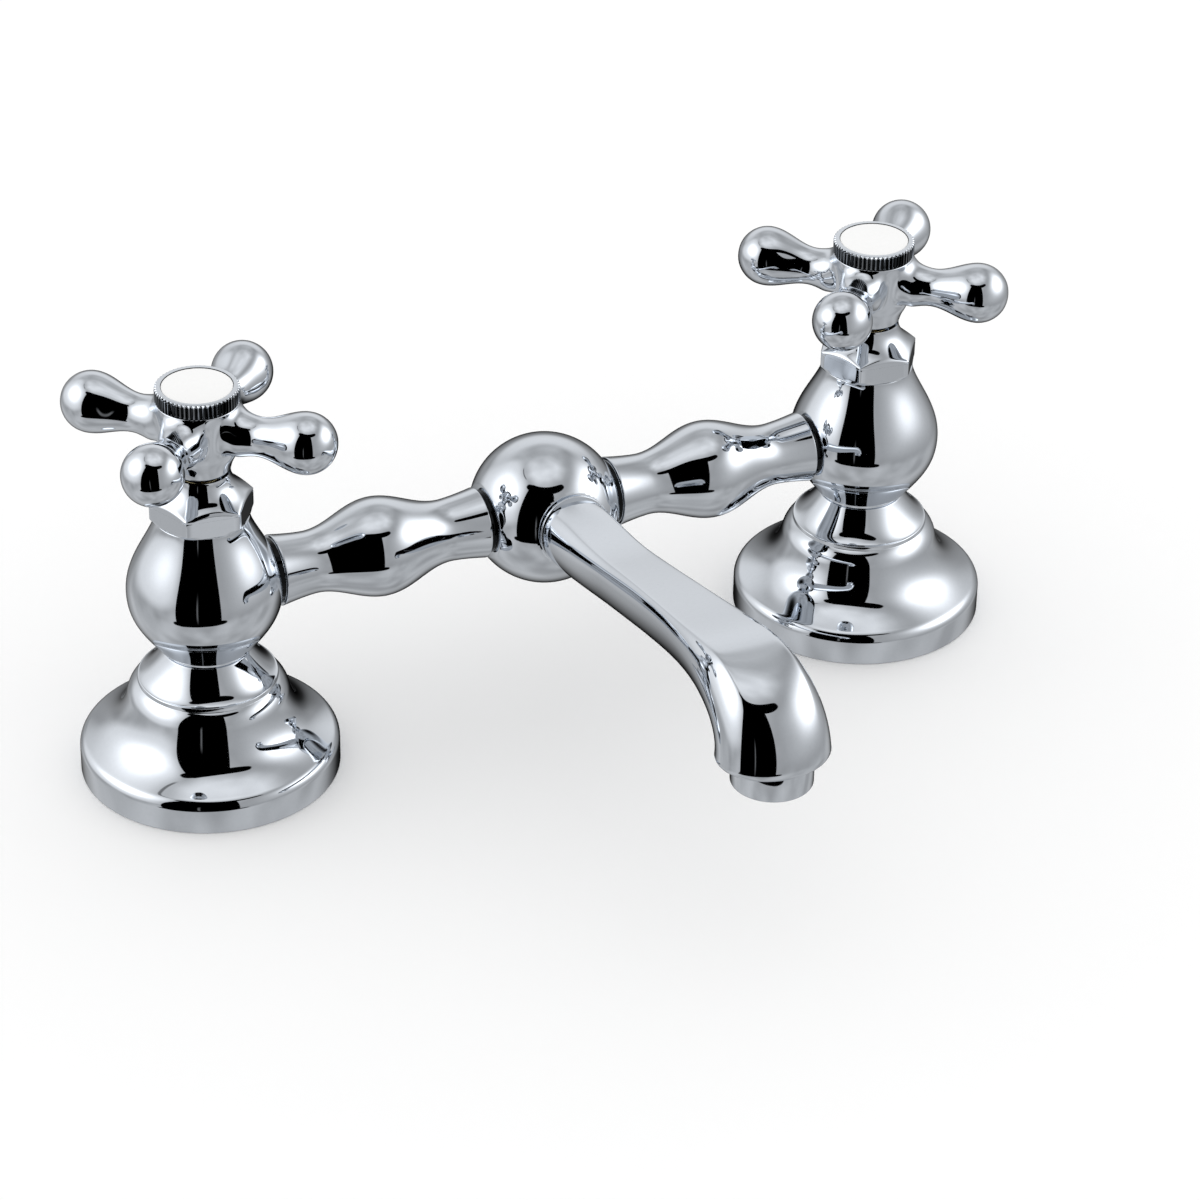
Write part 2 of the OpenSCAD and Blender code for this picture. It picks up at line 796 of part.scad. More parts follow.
// Centre line of the spout: t runs from 0 at the root over 1 at the crest to 2 at the mouth
function spout_p(t) = t <= 1
  ? bezier(root_p, root_p + root_d * stem_len * 0.47, crest_p - [stem_len * 0.27, 0], crest_p, t)
  : bezier(crest_p, crest_p + [crest_back * 0.32, 0], mouth_p + [0, drop_len], mouth_p, t - 1);
function spout_d(t) = let (v = spout_p(min(2, t + 0.01)) - spout_p(max(0, t - 0.01))) v / norm(v);

// Half width of the spout, and its reach above and below the centre line
function swell(t) = pow(ease(max(0, t - 0.95) / 1.05), 0.4);
function half_w(t) = t < 0.3
  ? mix(arm_end_r - 0.1, stem_half_w, ease(t / 0.3))
  : mix(stem_half_w, mouth_half_w, pow(ease(min(1, (t - 0.3) / 1.65)), 0.92));
function reach_up(t) = mix(stem_up, mouth_half_t, swell(t))
  + (arm_end_r - 0.6 - stem_up) * (1 - ease(min(1, t / 0.3)));
function reach_down(t) = mix(stem_down, mouth_half_t, swell(t))
  + (arm_end_r - 0.1 - stem_down) * (1 - ease(min(1, t / 0.3)));

// Points round the section, and the point at which its flat top meets its sides
around = 40;
edge_step = 6;
edge_c = cos(360 * edge_step / around);

// One point of a section: the stem has a flat top with two edges, which fade towards the mouth
function section_point(t, u, inset) = let (
    p = spout_p(t),
    d = spout_d(t),
    c = abs(cos(u)),
    up = reach_up(t) - inset,
    side = up * pow(min(1, (1 - c) / (1 - edge_c)), 0.85),
    fade = ease(min(1, max(0, t - 1.15) / 0.6)),
    h = sin(u) > 0 ? mix(side, up * sin(u), fade) : (reach_down(t) - inset) * sin(u)
  ) [(half_w(t) - inset) * cos(u), d[1] * h - p[0], axis_h + p[1] + d[0] * h];

module spout_skin() {
  steps = 28;
  lips = 4;
  rings = concat(
    [for (i = [0:steps]) [for (k = [0:around - 1])
      section_point(lip_t * i / steps, 360 * k / around, 0)
    ]],
    [for (i = [1:lips]) let (q = 90 * i / lips) [for (k = [0:around - 1])
      let (p = section_point(2, 360 * k / around, mouth_round * (1 - cos(q))))
        [p[0], p[1], mouth_z + mouth_round * (1 - sin(q))]
    ]]
  );
  last = len(rings) - 1;
  root = last * around + around;
  mouth = root + 1;
  points = concat(
    [for (ring = rings) each ring],
    [[0, -root_p[0], axis_h + root_p[1]], [0, -spout_reach, mouth_z]]
  );
  next = [for (k = [0:around - 1]) (k + 1) % around];
  faces = concat(
    [for (i = [0:last - 1]) for (k = [0:around - 1])
      [i * around + k, (i + 1) * around + k, (i + 1) * around + next[k]]
    ],
    [for (i = [0:last - 1]) for (k = [0:around - 1])
      [i * around + k, (i + 1) * around + next[k], i * around + next[k]]
    ],
    [for (k = [0:around - 1]) [root, k, next[k]]],
    [for (k = [0:around - 1]) [mouth, last * around + next[k], last * around + k]]
  );
  polyhedron(points, faces);
}

module spout_solid() {
  bend = [0, 19 - spout_reach, axis_h + crest_rise];
  start = [0, -8 * root_d[0], axis_h + 8 * root_d[1]];
  difference() {
    union() {
      spout_skin();
      along_root() {
        translate([0, 0, ball_face + seam - spigot_l])
          cylinder(r = spout_spigot_r, h = spigot_l + ring_w + 3);
        translate([0, 0, ball_face + seam])
          cylinder(r = ring_r, h = ring_w);
      }
    }
    along_root()
      translate([0, 0, ball_face + seam - seal_at])
        ring_groove(spout_spigot_r, seal_bed_r + spout_spigot_r - spigot_r, seal_groove);
    rod(start, bend, tube_r);
    rod(bend + [0, 0, 1], [0, 1 - spout_reach, mouth_z + cup_h - 1.5], tube_r + 0.8);
    translate([0, -spout_reach, mouth_z - 1])
      cylinder(r = cup_r, h = cup_h + 1);
  }
}

module spout_seal_solid() {
  along_root()
    translate([0, 0, ball_face + seam - seal_at])
      seal_ring(seal_mid_r + spout_spigot_r - spigot_r);
}

module aerator_housing_solid() {
  translate([0, -spout_reach, mouth_z])
    difference() {
      union() {
        rotate_extrude()
          polygon([
            [0, -aerator_h],
            [aerator_r - 0.5, -aerator_h],
            [aerator_r, -aerator_h + 0.5],
            [aerator_r, -seam],
            [0, -seam]
          ]);
        translate([0, 0, -1])
          cylinder(r = aerator_sleeve_r, h = aerator_sleeve_h + 1);
      }
      translate([0, 0, -aerator_h + 1])
        cylinder(r = aerator_sleeve_r - aerator_wall, h = aerator_h + aerator_sleeve_h);
      translate([0, 0, -aerator_h - 1])
        cylinder(r = aerator_sleeve_r - aerator_wall - 0.8, h = 3);
    }
}

module aerator_insert_solid() {
  insert_r = aerator_sleeve_r - aerator_wall - slip;
  translate([0, -spout_reach, mouth_z - aerator_h + 1 + seam])
    difference() {
      cylinder(r = insert_r, h = aerator_h + aerator_sleeve_h - 1 - seam);
      for (row = [0:3])
        for (i = [0:max(0, 6 * row - 1)])
          rotate([0, 0, row == 0 ? 0 : 60 * i / row])
            translate([row * insert_r / 3.9, 0, -1])
              cylinder(r = jet_r, h = aerator_h + aerator_sleeve_h + 2, $fn = 24);
    }
}

module aerator_washer_solid() {
  translate([0, -spout_reach, mouth_z + aerator_sleeve_h + seam])
    difference() {
      cylinder(r = aerator_sleeve_r, h = mouth_seal_h);
      translate([0, 0, -1])
        cylinder(r = aerator_sleeve_r - 3, h = mouth_seal_h + 2);
    }
}

module hot_index_button() color(porcelain) on_side(false) index_button();
module cold_index_button() color(porcelain) on_side(true) index_button();
module hot_index_cap() color(chrome) on_side(false) index_cap();
module cold_index_cap() color(chrome) on_side(true) index_cap();
module hot_handle_screw() color(steel) on_side(false) handle_screw();
module cold_handle_screw() color(steel) on_side(true) handle_screw();
module hot_cross_handle() color(chrome) on_side(false) cross_handle();
module cold_cross_handle() color(chrome) on_side(true) cross_handle();
module hot_cover_nut() color(chrome) on_side(false) cover_nut();
module cold_cover_nut() color(chrome) on_side(true) cover_nut();
module hot_spindle() color(brass) on_side(false) spindle();
module cold_spindle() color(brass) on_side(true) spindle();
module hot_spindle_clip() color(steel) on_side(false) spindle_clip();
module cold_spindle_clip() color(steel) on_side(true) spindle_clip();
module hot_spindle_seal() color(rubber) on_side(false) spindle_seal();
module cold_spindle_seal() color(rubber) on_side(true) spindle_seal();
module hot_cartridge_body() color(brass) on_side(false) cartridge_body();
module cold_cartridge_body() color(brass) on_side(true) cartridge_body();
module hot_cartridge_seal() color(rubber) on_side(false) cartridge_seal();
module cold_cartridge_seal() color(rubber) on_side(true) cartridge_seal();
module hot_moving_disc() color(ceramic) on_side(false) moving_disc();
module cold_moving_disc() color(ceramic) on_side(true) moving_disc();
module hot_fixed_disc() color(ceramic) on_side(false) fixed_disc();
module cold_fixed_disc() color(ceramic) on_side(true) fixed_disc();
module hot_seat_seal() color(rubber) on_side(false) seat_seal();
module cold_seat_seal() color(rubber) on_side(true) seat_seal();
module hot_valve_body() color(chrome) on_side(false) valve_body();
module cold_valve_body() color(chrome) on_side(true) valve_body();
module hot_flange() color(chrome) on_side(false) flange();
module cold_flange() color(chrome) on_side(true) flange();
module hot_flange_gasket() color(rubber) on_side(false) flange_gasket();
module cold_flange_gasket() color(rubber) on_side(true) flange_gasket();
module hot_bridge_arm() color(chrome) rotate([0, 0, 180]) bridge_arm();
module cold_bridge_arm() color(chrome) bridge_arm();
module hot_arm_seals() color(rubber) rotate([0, 0, 180]) arm_seals();
module cold_arm_seals() color(rubber) arm_seals();

module centre_body() color(chrome) centre_body_solid();
module spout() color(chrome) spout_solid();
module spout_seal() color(rubber) spout_seal_solid();
module aerator_housing() color(chrome) aerator_housing_solid();
module aerator_insert() color(plastic) aerator_insert_solid();
module aerator_washer() color(rubber) aerator_washer_solid();

hot_index_button();
cold_index_button();
hot_index_cap();
cold_index_cap();
hot_handle_screw();
cold_handle_screw();
hot_cross_handle();
cold_cross_handle();
hot_cover_nut();
cold_cover_nut();
hot_spindle();
cold_spindle();
hot_spindle_clip();
cold_spindle_clip();
hot_spindle_seal();
cold_spindle_seal();
hot_cartridge_body();
cold_cartridge_body();
hot_cartridge_seal();
cold_cartridge_seal();
hot_moving_disc();
cold_moving_disc();
hot_fixed_disc();
cold_fixed_disc();
hot_seat_seal();
cold_seat_seal();
hot_valve_body();
cold_valve_body();
hot_flange();
cold_flange();
hot_flange_gasket();
cold_flange_gasket();
hot_bridge_arm();
cold_bridge_arm();
hot_arm_seals();
cold_arm_seals();
centre_body();
spout();
spout_seal();
aerator_housing();
aerator_insert();
aerator_washer();
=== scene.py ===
"""The looks of a chrome bridge basin tap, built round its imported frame."""

import json
import logging
import math
from collections.abc import Callable, Iterator
from contextlib import contextmanager
from dataclasses import dataclass
from enum import Enum

import bpy
from mathutils import Matrix, Vector

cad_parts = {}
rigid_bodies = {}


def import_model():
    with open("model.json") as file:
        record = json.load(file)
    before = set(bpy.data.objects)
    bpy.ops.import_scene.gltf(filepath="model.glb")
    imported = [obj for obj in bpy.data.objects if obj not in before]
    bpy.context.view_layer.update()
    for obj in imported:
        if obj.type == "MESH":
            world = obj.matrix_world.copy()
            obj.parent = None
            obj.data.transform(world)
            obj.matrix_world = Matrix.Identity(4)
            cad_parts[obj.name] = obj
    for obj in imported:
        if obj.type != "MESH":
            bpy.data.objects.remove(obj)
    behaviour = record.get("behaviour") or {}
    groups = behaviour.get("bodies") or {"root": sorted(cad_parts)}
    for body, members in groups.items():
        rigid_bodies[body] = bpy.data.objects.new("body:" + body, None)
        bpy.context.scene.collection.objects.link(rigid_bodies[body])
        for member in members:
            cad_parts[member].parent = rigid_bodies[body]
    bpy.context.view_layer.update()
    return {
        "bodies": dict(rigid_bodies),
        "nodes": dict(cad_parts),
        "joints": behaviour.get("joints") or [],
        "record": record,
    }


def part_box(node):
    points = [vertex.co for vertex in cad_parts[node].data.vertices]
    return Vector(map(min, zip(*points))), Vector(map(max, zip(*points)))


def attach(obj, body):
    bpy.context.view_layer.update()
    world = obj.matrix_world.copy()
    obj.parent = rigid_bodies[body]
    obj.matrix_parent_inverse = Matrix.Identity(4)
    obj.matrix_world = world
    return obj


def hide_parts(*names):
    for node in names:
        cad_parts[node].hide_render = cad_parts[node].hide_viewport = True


MM = 0.001
WELD = 1e-6
CREASE = math.radians(32)
# Name of the face attribute that carries painted shade: grooves and gaps darkened in the colour.
PAINTED_SHADE = "painted_shade"
X_AXIS = Vector((1.0, 0.0, 0.0))
Z_AXIS = Vector((0.0, 0.0, 1.0))
Outline = list[tuple[float, float]]
log = logging.getLogger("tap")


class Side(Enum):
    """The two ends of the bridge, named for the supply that each one carries."""

    HOT = "hot"
    COLD = "cold"


class Slot(Enum):
    """The finishes that the record names."""

    CHROME = "chrome"
    BRASS = "brass"
    STEEL = "steel"
    RUBBER = "rubber"
    PORCELAIN = "porcelain"
    CERAMIC = "ceramic"
    PLASTIC = "plastic"


@dataclass(frozen=True)
class Finish:
    """A surface finish: one shader whose roughness, tint and bump come from noise."""

    slot: Slot
    colour: tuple[float, float, float]
    metallic: float = 0.0
    roughness: float = 0.3
    roughness_spread: float = 0.05
    tint_spread: float = 0.05
    grain: float = 900.0
    bump: float = 0.02
    coat: float = 0.0
    ior: float = 1.5
    # How much of the colour is left where painted shade lies in grooves and gaps.
    painted_shade_tone: float = 0.02

    def build(self) -> bpy.types.Material:
        """Makes the finish, whose colour is darkened where a piece carries painted shade.

        Returns:
            The material.
        """
        material = bpy.data.materials.new(self.slot.value)
        material.use_nodes = True
        nodes, links = material.node_tree.nodes, material.node_tree.links
        shader = nodes["Principled BSDF"]
        shader.inputs["Metallic"].default_value = self.metallic
        shader.inputs["IOR"].default_value = self.ior
        shader.inputs["Coat Weight"].default_value = self.coat
        place = nodes.new("ShaderNodeTexCoord")
        noise = nodes.new("ShaderNodeTexNoise")
        noise.inputs["Scale"].default_value = self.grain
        noise.inputs["Detail"].default_value = 3.0
        links.new(place.outputs["Object"], noise.inputs["Vector"])
        rough = nodes.new("ShaderNodeMapRange")
        rough.inputs["To Min"].default_value = max(0.0, self.roughness - self.roughness_spread)
        rough.inputs["To Max"].default_value = self.roughness + self.roughness_spread
        links.new(noise.outputs["Fac"], rough.inputs["Value"])
        links.new(rough.outputs["Result"], shader.inputs["Roughness"])
        tint = nodes.new("ShaderNodeMixRGB")
        tint.inputs["Color1"].default_value = (*self.colour, 1.0)
        tint.inputs["Color2"].default_value = (*(c * (1.0 - self.tint_spread) for c in self.colour), 1.0)
        links.new(noise.outputs["Fac"], tint.inputs["Fac"])
        # Painted shade: the colour is darkened by the face attribute that marks grooves and gaps.
        painted_shade = nodes.new("ShaderNodeAttribute")
        painted_shade.attribute_name = PAINTED_SHADE
        shaded_colour = nodes.new("ShaderNodeMixRGB")
        shaded_colour.inputs["Color2"].default_value = (*(c * self.painted_shade_tone for c in self.colour), 1.0)
        links.new(painted_shade.outputs["Fac"], shaded_colour.inputs["Fac"])
        links.new(tint.outputs["Color"], shaded_colour.inputs["Color1"])
        links.new(shaded_colour.outputs["Color"], shader.inputs["Base Color"])
        bump = nodes.new("ShaderNodeBump")
        bump.inputs["Strength"].default_value = self.bump
        bump.inputs["Distance"].default_value = 0.05 * MM
        links.new(noise.outputs["Fac"], bump.inputs["Height"])
        links.new(bump.outputs["Normal"], shader.inputs["Normal"])
        return material


FINISHES = (
    Finish(Slot.CHROME, (0.745, 0.785, 0.84), metallic=1.0, roughness=0.035, roughness_spread=0.015,
           bump=0.002),
    Finish(Slot.BRASS, (0.80, 0.62, 0.30), metallic=1.0, roughness=0.32),
    Finish(Slot.STEEL, (0.62, 0.63, 0.65), metallic=1.0, roughness=0.28),
    Finish(Slot.RUBBER, (0.03, 0.03, 0.03), roughness=0.6),
    Finish(Slot.PORCELAIN, (0.975, 0.975, 0.97), roughness=0.08, roughness_spread=0.02, bump=0.003, coat=0.6),
    Finish(Slot.CERAMIC, (0.82, 0.80, 0.75), roughness=0.35),
    Finish(Slot.PLASTIC, (0.72, 0.73, 0.75), roughness=0.4),
)


def mix(a: float, b: float, t: float) -> float:
    """Mixes two values."""
    return a + (b - a) * t


def curve(a: float | Vector, b: float | Vector, c: float | Vector, d: float | Vector,
          t: float) -> float | Vector:
    """Gives the point at t of a cubic curve, from four numbers or from four vectors."""
    return a * (1 - t) ** 3 + b * 3 * t * (1 - t) ** 2 + c * 3 * t * t * (1 - t) + d * t**3


def ease(t: float) -> float:
    """Eases from 0 to 1."""
    return (1.0 - math.cos(math.pi * t)) / 2.0


def arc(centre: tuple[float, float], radius: float, start: float, end: float, steps: int) -> Outline:
    """Gives the points of an arc.

    Args:
        centre: radius and height of the arc's centre.
        radius: the arc's radius.
        start: angle of the first point, in degrees from the outward direction.
        end: angle of the last point.
        steps: how many stretches the arc has.

    Returns:
        The points.
    """
    angles = [math.radians(mix(start, end, i / steps)) for i in range(steps + 1)]
    return [(centre[0] + radius * math.cos(a), centre[1] + radius * math.sin(a)) for a in angles]


def soften(outline: Outline, radius: float = 0.25, steps: int = 4) -> Outline:
    """Rounds the corners of a closed outline.

    Args:
        outline: the outline's points.
        radius: rounding of the corners.
        steps: how many stretches each rounding has.

    Returns:
        The rounded outline.
    """
    rounded: Outline = []
    for i, corner in enumerate(outline):
        here = Vector(corner)
        back, on = Vector(outline[i - 1]) - here, Vector(outline[(i + 1) % len(outline)]) - here
        turn = math.pi - back.angle(on, math.pi)
        if turn < CREASE or corner[0] < WELD:
            rounded.append(corner)
            continue
        reach = min(radius * math.tan(turn / 2), 0.45 * back.length, 0.45 * on.length)
        first, last = here + back.normalized() * reach, here + on.normalized() * reach
        for k in range(steps + 1):
            t = k / steps
            point = first * (1 - t) ** 2 + here * 2 * t * (1 - t) + last * t**2
            rounded.append((point.x, point.y))
    return rounded


def bare() -> None:
    """Leaves nothing selected."""
    bpy.ops.object.select_all(action="DESELECT")


@contextmanager
def editing(piece: bpy.types.Object) -> Iterator[None]:
    """Opens a piece in edit mode.

    Args:
        piece: the piece.

    Yields:
        Nothing; the piece is in edit mode meanwhile.
    """
    bare()
    piece.select_set(True)
    bpy.context.view_layer.objects.active = piece
    bpy.ops.object.mode_set(mode="EDIT")
    yield
    bpy.ops.object.mode_set(mode="OBJECT")


def pick(piece: bpy.types.Object, test: Callable[[Vector], bool], faces: bool = False) -> None:
    """Selects vertices or faces of the piece that is open in edit mode by their place.

    Args:
        piece: the piece.
        test: says of a place in millimetres whether it is wanted.
        faces: whether faces are selected by their centres.
    """
    bpy.ops.mesh.select_all(action="DESELECT")
    bpy.ops.mesh.select_mode(type="FACE" if faces else "VERT")
    bpy.ops.object.mode_set(mode="OBJECT")
    for part in piece.data.polygons if faces else piece.data.vertices:
        part.select = test((part.center if faces else part.co) / MM)
    bpy.ops.object.mode_set(mode="EDIT")


def clean(piece: bpy.types.Object) -> None:
    """Welds a piece's doubles and turns its faces outwards.

    Args:
        piece: the piece.
    """
    with editing(piece):
        bpy.ops.mesh.select_all(action="SELECT")
        bpy.ops.mesh.remove_doubles(threshold=WELD)
        bpy.ops.mesh.delete_loose()
        bpy.ops.mesh.select_all(action="SELECT")
        bpy.ops.mesh.normals_make_consistent(inside=False)


def smooth(piece: bpy.types.Object, angle: float = CREASE) -> None:
    """Shades a piece smooth except across its edges.

    Args:
        piece: the piece.
        angle: from which turn on an edge stays sharp.
    """
    bare()
    piece.select_set(True)
    bpy.context.view_layer.objects.active = piece
    bpy.ops.object.shade_smooth_by_angle(angle=angle)


def paint_shade(piece: bpy.types.Object, depth: Callable[[Vector], float]) -> None:
    """Paints shade into a piece's grooves and gaps by darkening its colour.

    Args:
        piece: the piece.
        depth: says of a face's centre in millimetres how dark its painted shade is, from 0 to 1.
    """
    layer = piece.data.attributes.new(PAINTED_SHADE, "FLOAT", "FACE")
    for face, cell in zip(piece.data.polygons, layer.data):
        cell.value = min(1.0, max(0.0, depth(face.center / MM)))


def apply_modifier(piece: bpy.types.Object, kind: str, **settings: object) -> None:
    """Adds a modifier to a piece and applies it.

    Args:
        piece: the piece.
        kind: the modifier's type.
        **settings: its settings.
    """
    bare()
    piece.select_set(True)
    bpy.context.view_layer.objects.active = piece
    bpy.ops.object.modifier_add(type=kind)
    modifier = piece.modifiers[-1]
    for key, value in settings.items():
        setattr(modifier, key, value)
    bpy.ops.object.modifier_apply(modifier=modifier.name)


def lathe(name: str, outline: Outline, foot: Vector, axis: Vector = Z_AXIS, start: Vector = X_AXIS,
          steps: int = 128) -> bpy.types.Object:
    """Turns a closed outline round an axis.

    Args:
        name: the piece's name.
        outline: radius and height of each point, in millimetres.
        foot: where the axis has height 0.
        axis: direction of the axis.
        start: direction in which the outline is drawn.
        steps: how many stretches go round.

    Returns:
        The piece.
    """
    places = [foot + MM * (start * radius + axis * height) for radius, height in outline]
    places.append(places[0])
    bare()
    bpy.ops.mesh.primitive_plane_add(size=MM, location=places[0])
    piece = bpy.context.object
    piece.name = piece.data.name = name
    bpy.ops.object.transform_apply(location=True)
    with editing(piece):
        bpy.ops.mesh.select_mode(type="VERT")
        bpy.ops.mesh.select_all(action="SELECT")
        bpy.ops.mesh.merge(type="CENTER")
        for last, place in zip(places, places[1:]):
            bpy.ops.mesh.extrude_region_move(TRANSFORM_OT_translate={"value": place - last})
        bpy.ops.mesh.select_all(action="SELECT")
        bpy.ops.mesh.spin(steps=steps, angle=math.tau, center=foot, axis=axis)
    clean(piece)
    smooth(piece)
    return piece


def cutter(radius: float, height: float, foot: Vector, axis: Vector) -> bpy.types.Object:
    """Makes a plain round cutter.

    Args:
        radius: its radius, in millimetres.
        height: its height, in millimetres.
        foot: the middle of its lower face.
        axis: the direction that it stands in.

    Returns:
        The cutter.
    """
    bare()
    bpy.ops.mesh.primitive_cylinder_add(
        vertices=128, radius=radius * MM, depth=height * MM, location=foot + axis * height * MM / 2,
        rotation=Z_AXIS.rotation_difference(axis).to_euler())
    return bpy.context.object


def cut(piece: bpy.types.Object, tool: bpy.types.Object, operation: str = "DIFFERENCE") -> None:
    """Cuts a piece with a tool.

    Args:
        piece: the piece.
        tool: the tool, which is used up.
        operation: the kind of cut.
    """
    apply_modifier(piece, "BOOLEAN", object=tool, operation=operation, solver="EXACT")
    bpy.data.objects.remove(tool)
    clean(piece)
    smooth(piece)


@dataclass
class Maker:
    """What every sub-assembly needs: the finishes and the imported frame."""

    finishes: dict[str, bpy.types.Material]
    frame: dict

    def dress(self, piece: bpy.types.Object, slot: Slot, node: str) -> None:
        """Gives a new piece its finish and puts it in the place of a node.

        Args:
            piece: the piece.
            slot: its finish.
            node: the node that it stands for.
        """
        bodies = self.frame["record"]["behaviour"]["bodies"]
        body = next(name for name, members in bodies.items() if node in members)
        piece.data.materials.clear()
        piece.data.materials.append(self.finishes[slot.value])
        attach(piece, body)
        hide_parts(node)
        log.info("made %s for %s, %d faces", piece.name, node, len(piece.data.polygons))


@dataclass
class Flange(Maker):
    """One bell-shaped flange: band, bell, shoulder, lip and cone."""

    rim_r: float = 35.9
    rim_w: float = 5.6
    band_h: float = 6.8
    band_round: float = 3.4
    bell_slope: float = 64.0
    shoulder_r: float = 22.6
    shoulder_h: float = 6.5
    shoulder_turn: float = 54.0
    shoulder_lean: float = 14.0
    lip_r: float = 19.3
    lip_h: float = 1.3
    cone_h: float = 8.2
    land: float = 0.3
    wall: float = 2.0
    boss_l: float = 3.0
    neck_r: float = 11.8
    top: float = 37.55
    gasket_w: float = 2.7
    gasket_t: float = 1.6
    lip_round: float = 0.35
    bell_hold: float = 0.72
    bell_end: float = 0.8
    cone_across: tuple[float, float, float, float] = (0.0, 0.23, 0.66, 1.0)
    cone_up: tuple[float, float, float, float] = (0.0, 0.09, 0.49, 1.0)

    def bell(self, foot: Vector, top: Vector, steps: int) -> Outline:
        """Draws the bell's hollow curve.

        Args:
            foot: radius and height of its foot.
            top: radius and height of its top.
            steps: how many stretches it has.

        Returns:
            The points, from the foot up.
        """
        run, drop = math.tan(math.radians(self.bell_slope)), math.tan(math.radians(self.shoulder_lean))
        fall = (top.y - foot.y - (foot.x - top.x) / run) / (1 - drop / run)
        corner = Vector((top.x + fall * drop, top.y - fall))
        hold, end = foot.lerp(corner, self.bell_hold), top.lerp(corner, self.bell_end)
        return [tuple(curve(foot, hold, end, top, i / steps)) for i in range(steps + 1)]

    def shoulder(self, wall: float, steps: int) -> Outline:
        """Draws the shoulder from its widest line up to the lip.

        Args:
            wall: how far it is drawn in.
            steps: how many stretches it has.

        Returns:
            The points, from the foot up.
        """
        turn, lean = math.radians(self.shoulder_turn), math.radians(self.shoulder_lean)
        width = (self.shoulder_r - self.lip_r) / (1 - math.cos(turn))
        height = self.shoulder_h / math.sin(turn)
        level = self.top - self.cone_h - self.lip_h - self.shoulder_h
        angles = [mix(lean, turn, i / steps) for i in range(steps + 1)]
        return [(self.shoulder_r - wall - width * (1 - math.cos(a)), level + (height - wall) * math.sin(a))
                for a in angles]

    def cone(self, steps: int) -> Outline:
        """Draws the cone, which flares at the lip.

        Args:
            steps: how many stretches it has.

        Returns:
            The points, from the lip up.
        """
        low = Vector((self.lip_r - self.lip_round, self.top - self.cone_h))
        high = Vector((self.neck_r + self.land, self.top))
        return [(mix(low.x, high.x, curve(*self.cone_across, i / steps)),
                 mix(low.y, high.y, curve(*self.cone_up, i / steps))) for i in range(steps + 1)]

    def outline(self) -> Outline:
        """Draws the outline of the hollow shell.

        Returns:
            The points.
        """
        lip = self.top - self.cone_h - self.lip_h
        inner = self.rim_r - self.rim_w
        groove = (self.rim_r + inner) / 2
        rounding = arc((self.rim_r - self.band_round, self.band_h), self.band_round, 0, self.bell_slope, 12)
        outer, hollow = self.shoulder(0.0, 20), self.shoulder(self.wall, 10)
        groove_in, groove_out = groove - self.gasket_w / 2, groove + self.gasket_w / 2
        outside = [(groove_out, self.gasket_t), (groove_out, 0.0), (self.rim_r, 0.0)]
        outside += rounding[:-1] + self.bell(Vector(rounding[-1]), Vector(outer[0]), 48)[:-1] + outer
        lip_centre = (self.lip_r - self.lip_round, lip + self.lip_h - self.lip_round)
        outside += arc(lip_centre, self.lip_round, 0, 80, 5) + self.cone(28)
        boss = self.neck_r + self.wall
        inside = [(self.neck_r, self.top), (self.neck_r, lip - self.boss_l), (boss, lip - self.boss_l),
                  (boss, hollow[-1][1])]
        inside += hollow[:0:-1] + self.bell(Vector((inner, rounding[-1][1])), Vector(hollow[0]), 24)[::-1]
        inside += [(inner, 0.0), (groove_in, 0.0), (groove_in, self.gasket_t)]
        return soften(outside + inside, 0.2)

    def build(self, side: Side, foot: Vector) -> None:
        """Makes the flange of one side at its foot."""
        piece = lathe(f"{side.value}_flange_bell", self.outline(), foot, steps=160)
        self.dress(piece, Slot.CHROME, f"{side.value}_flange")


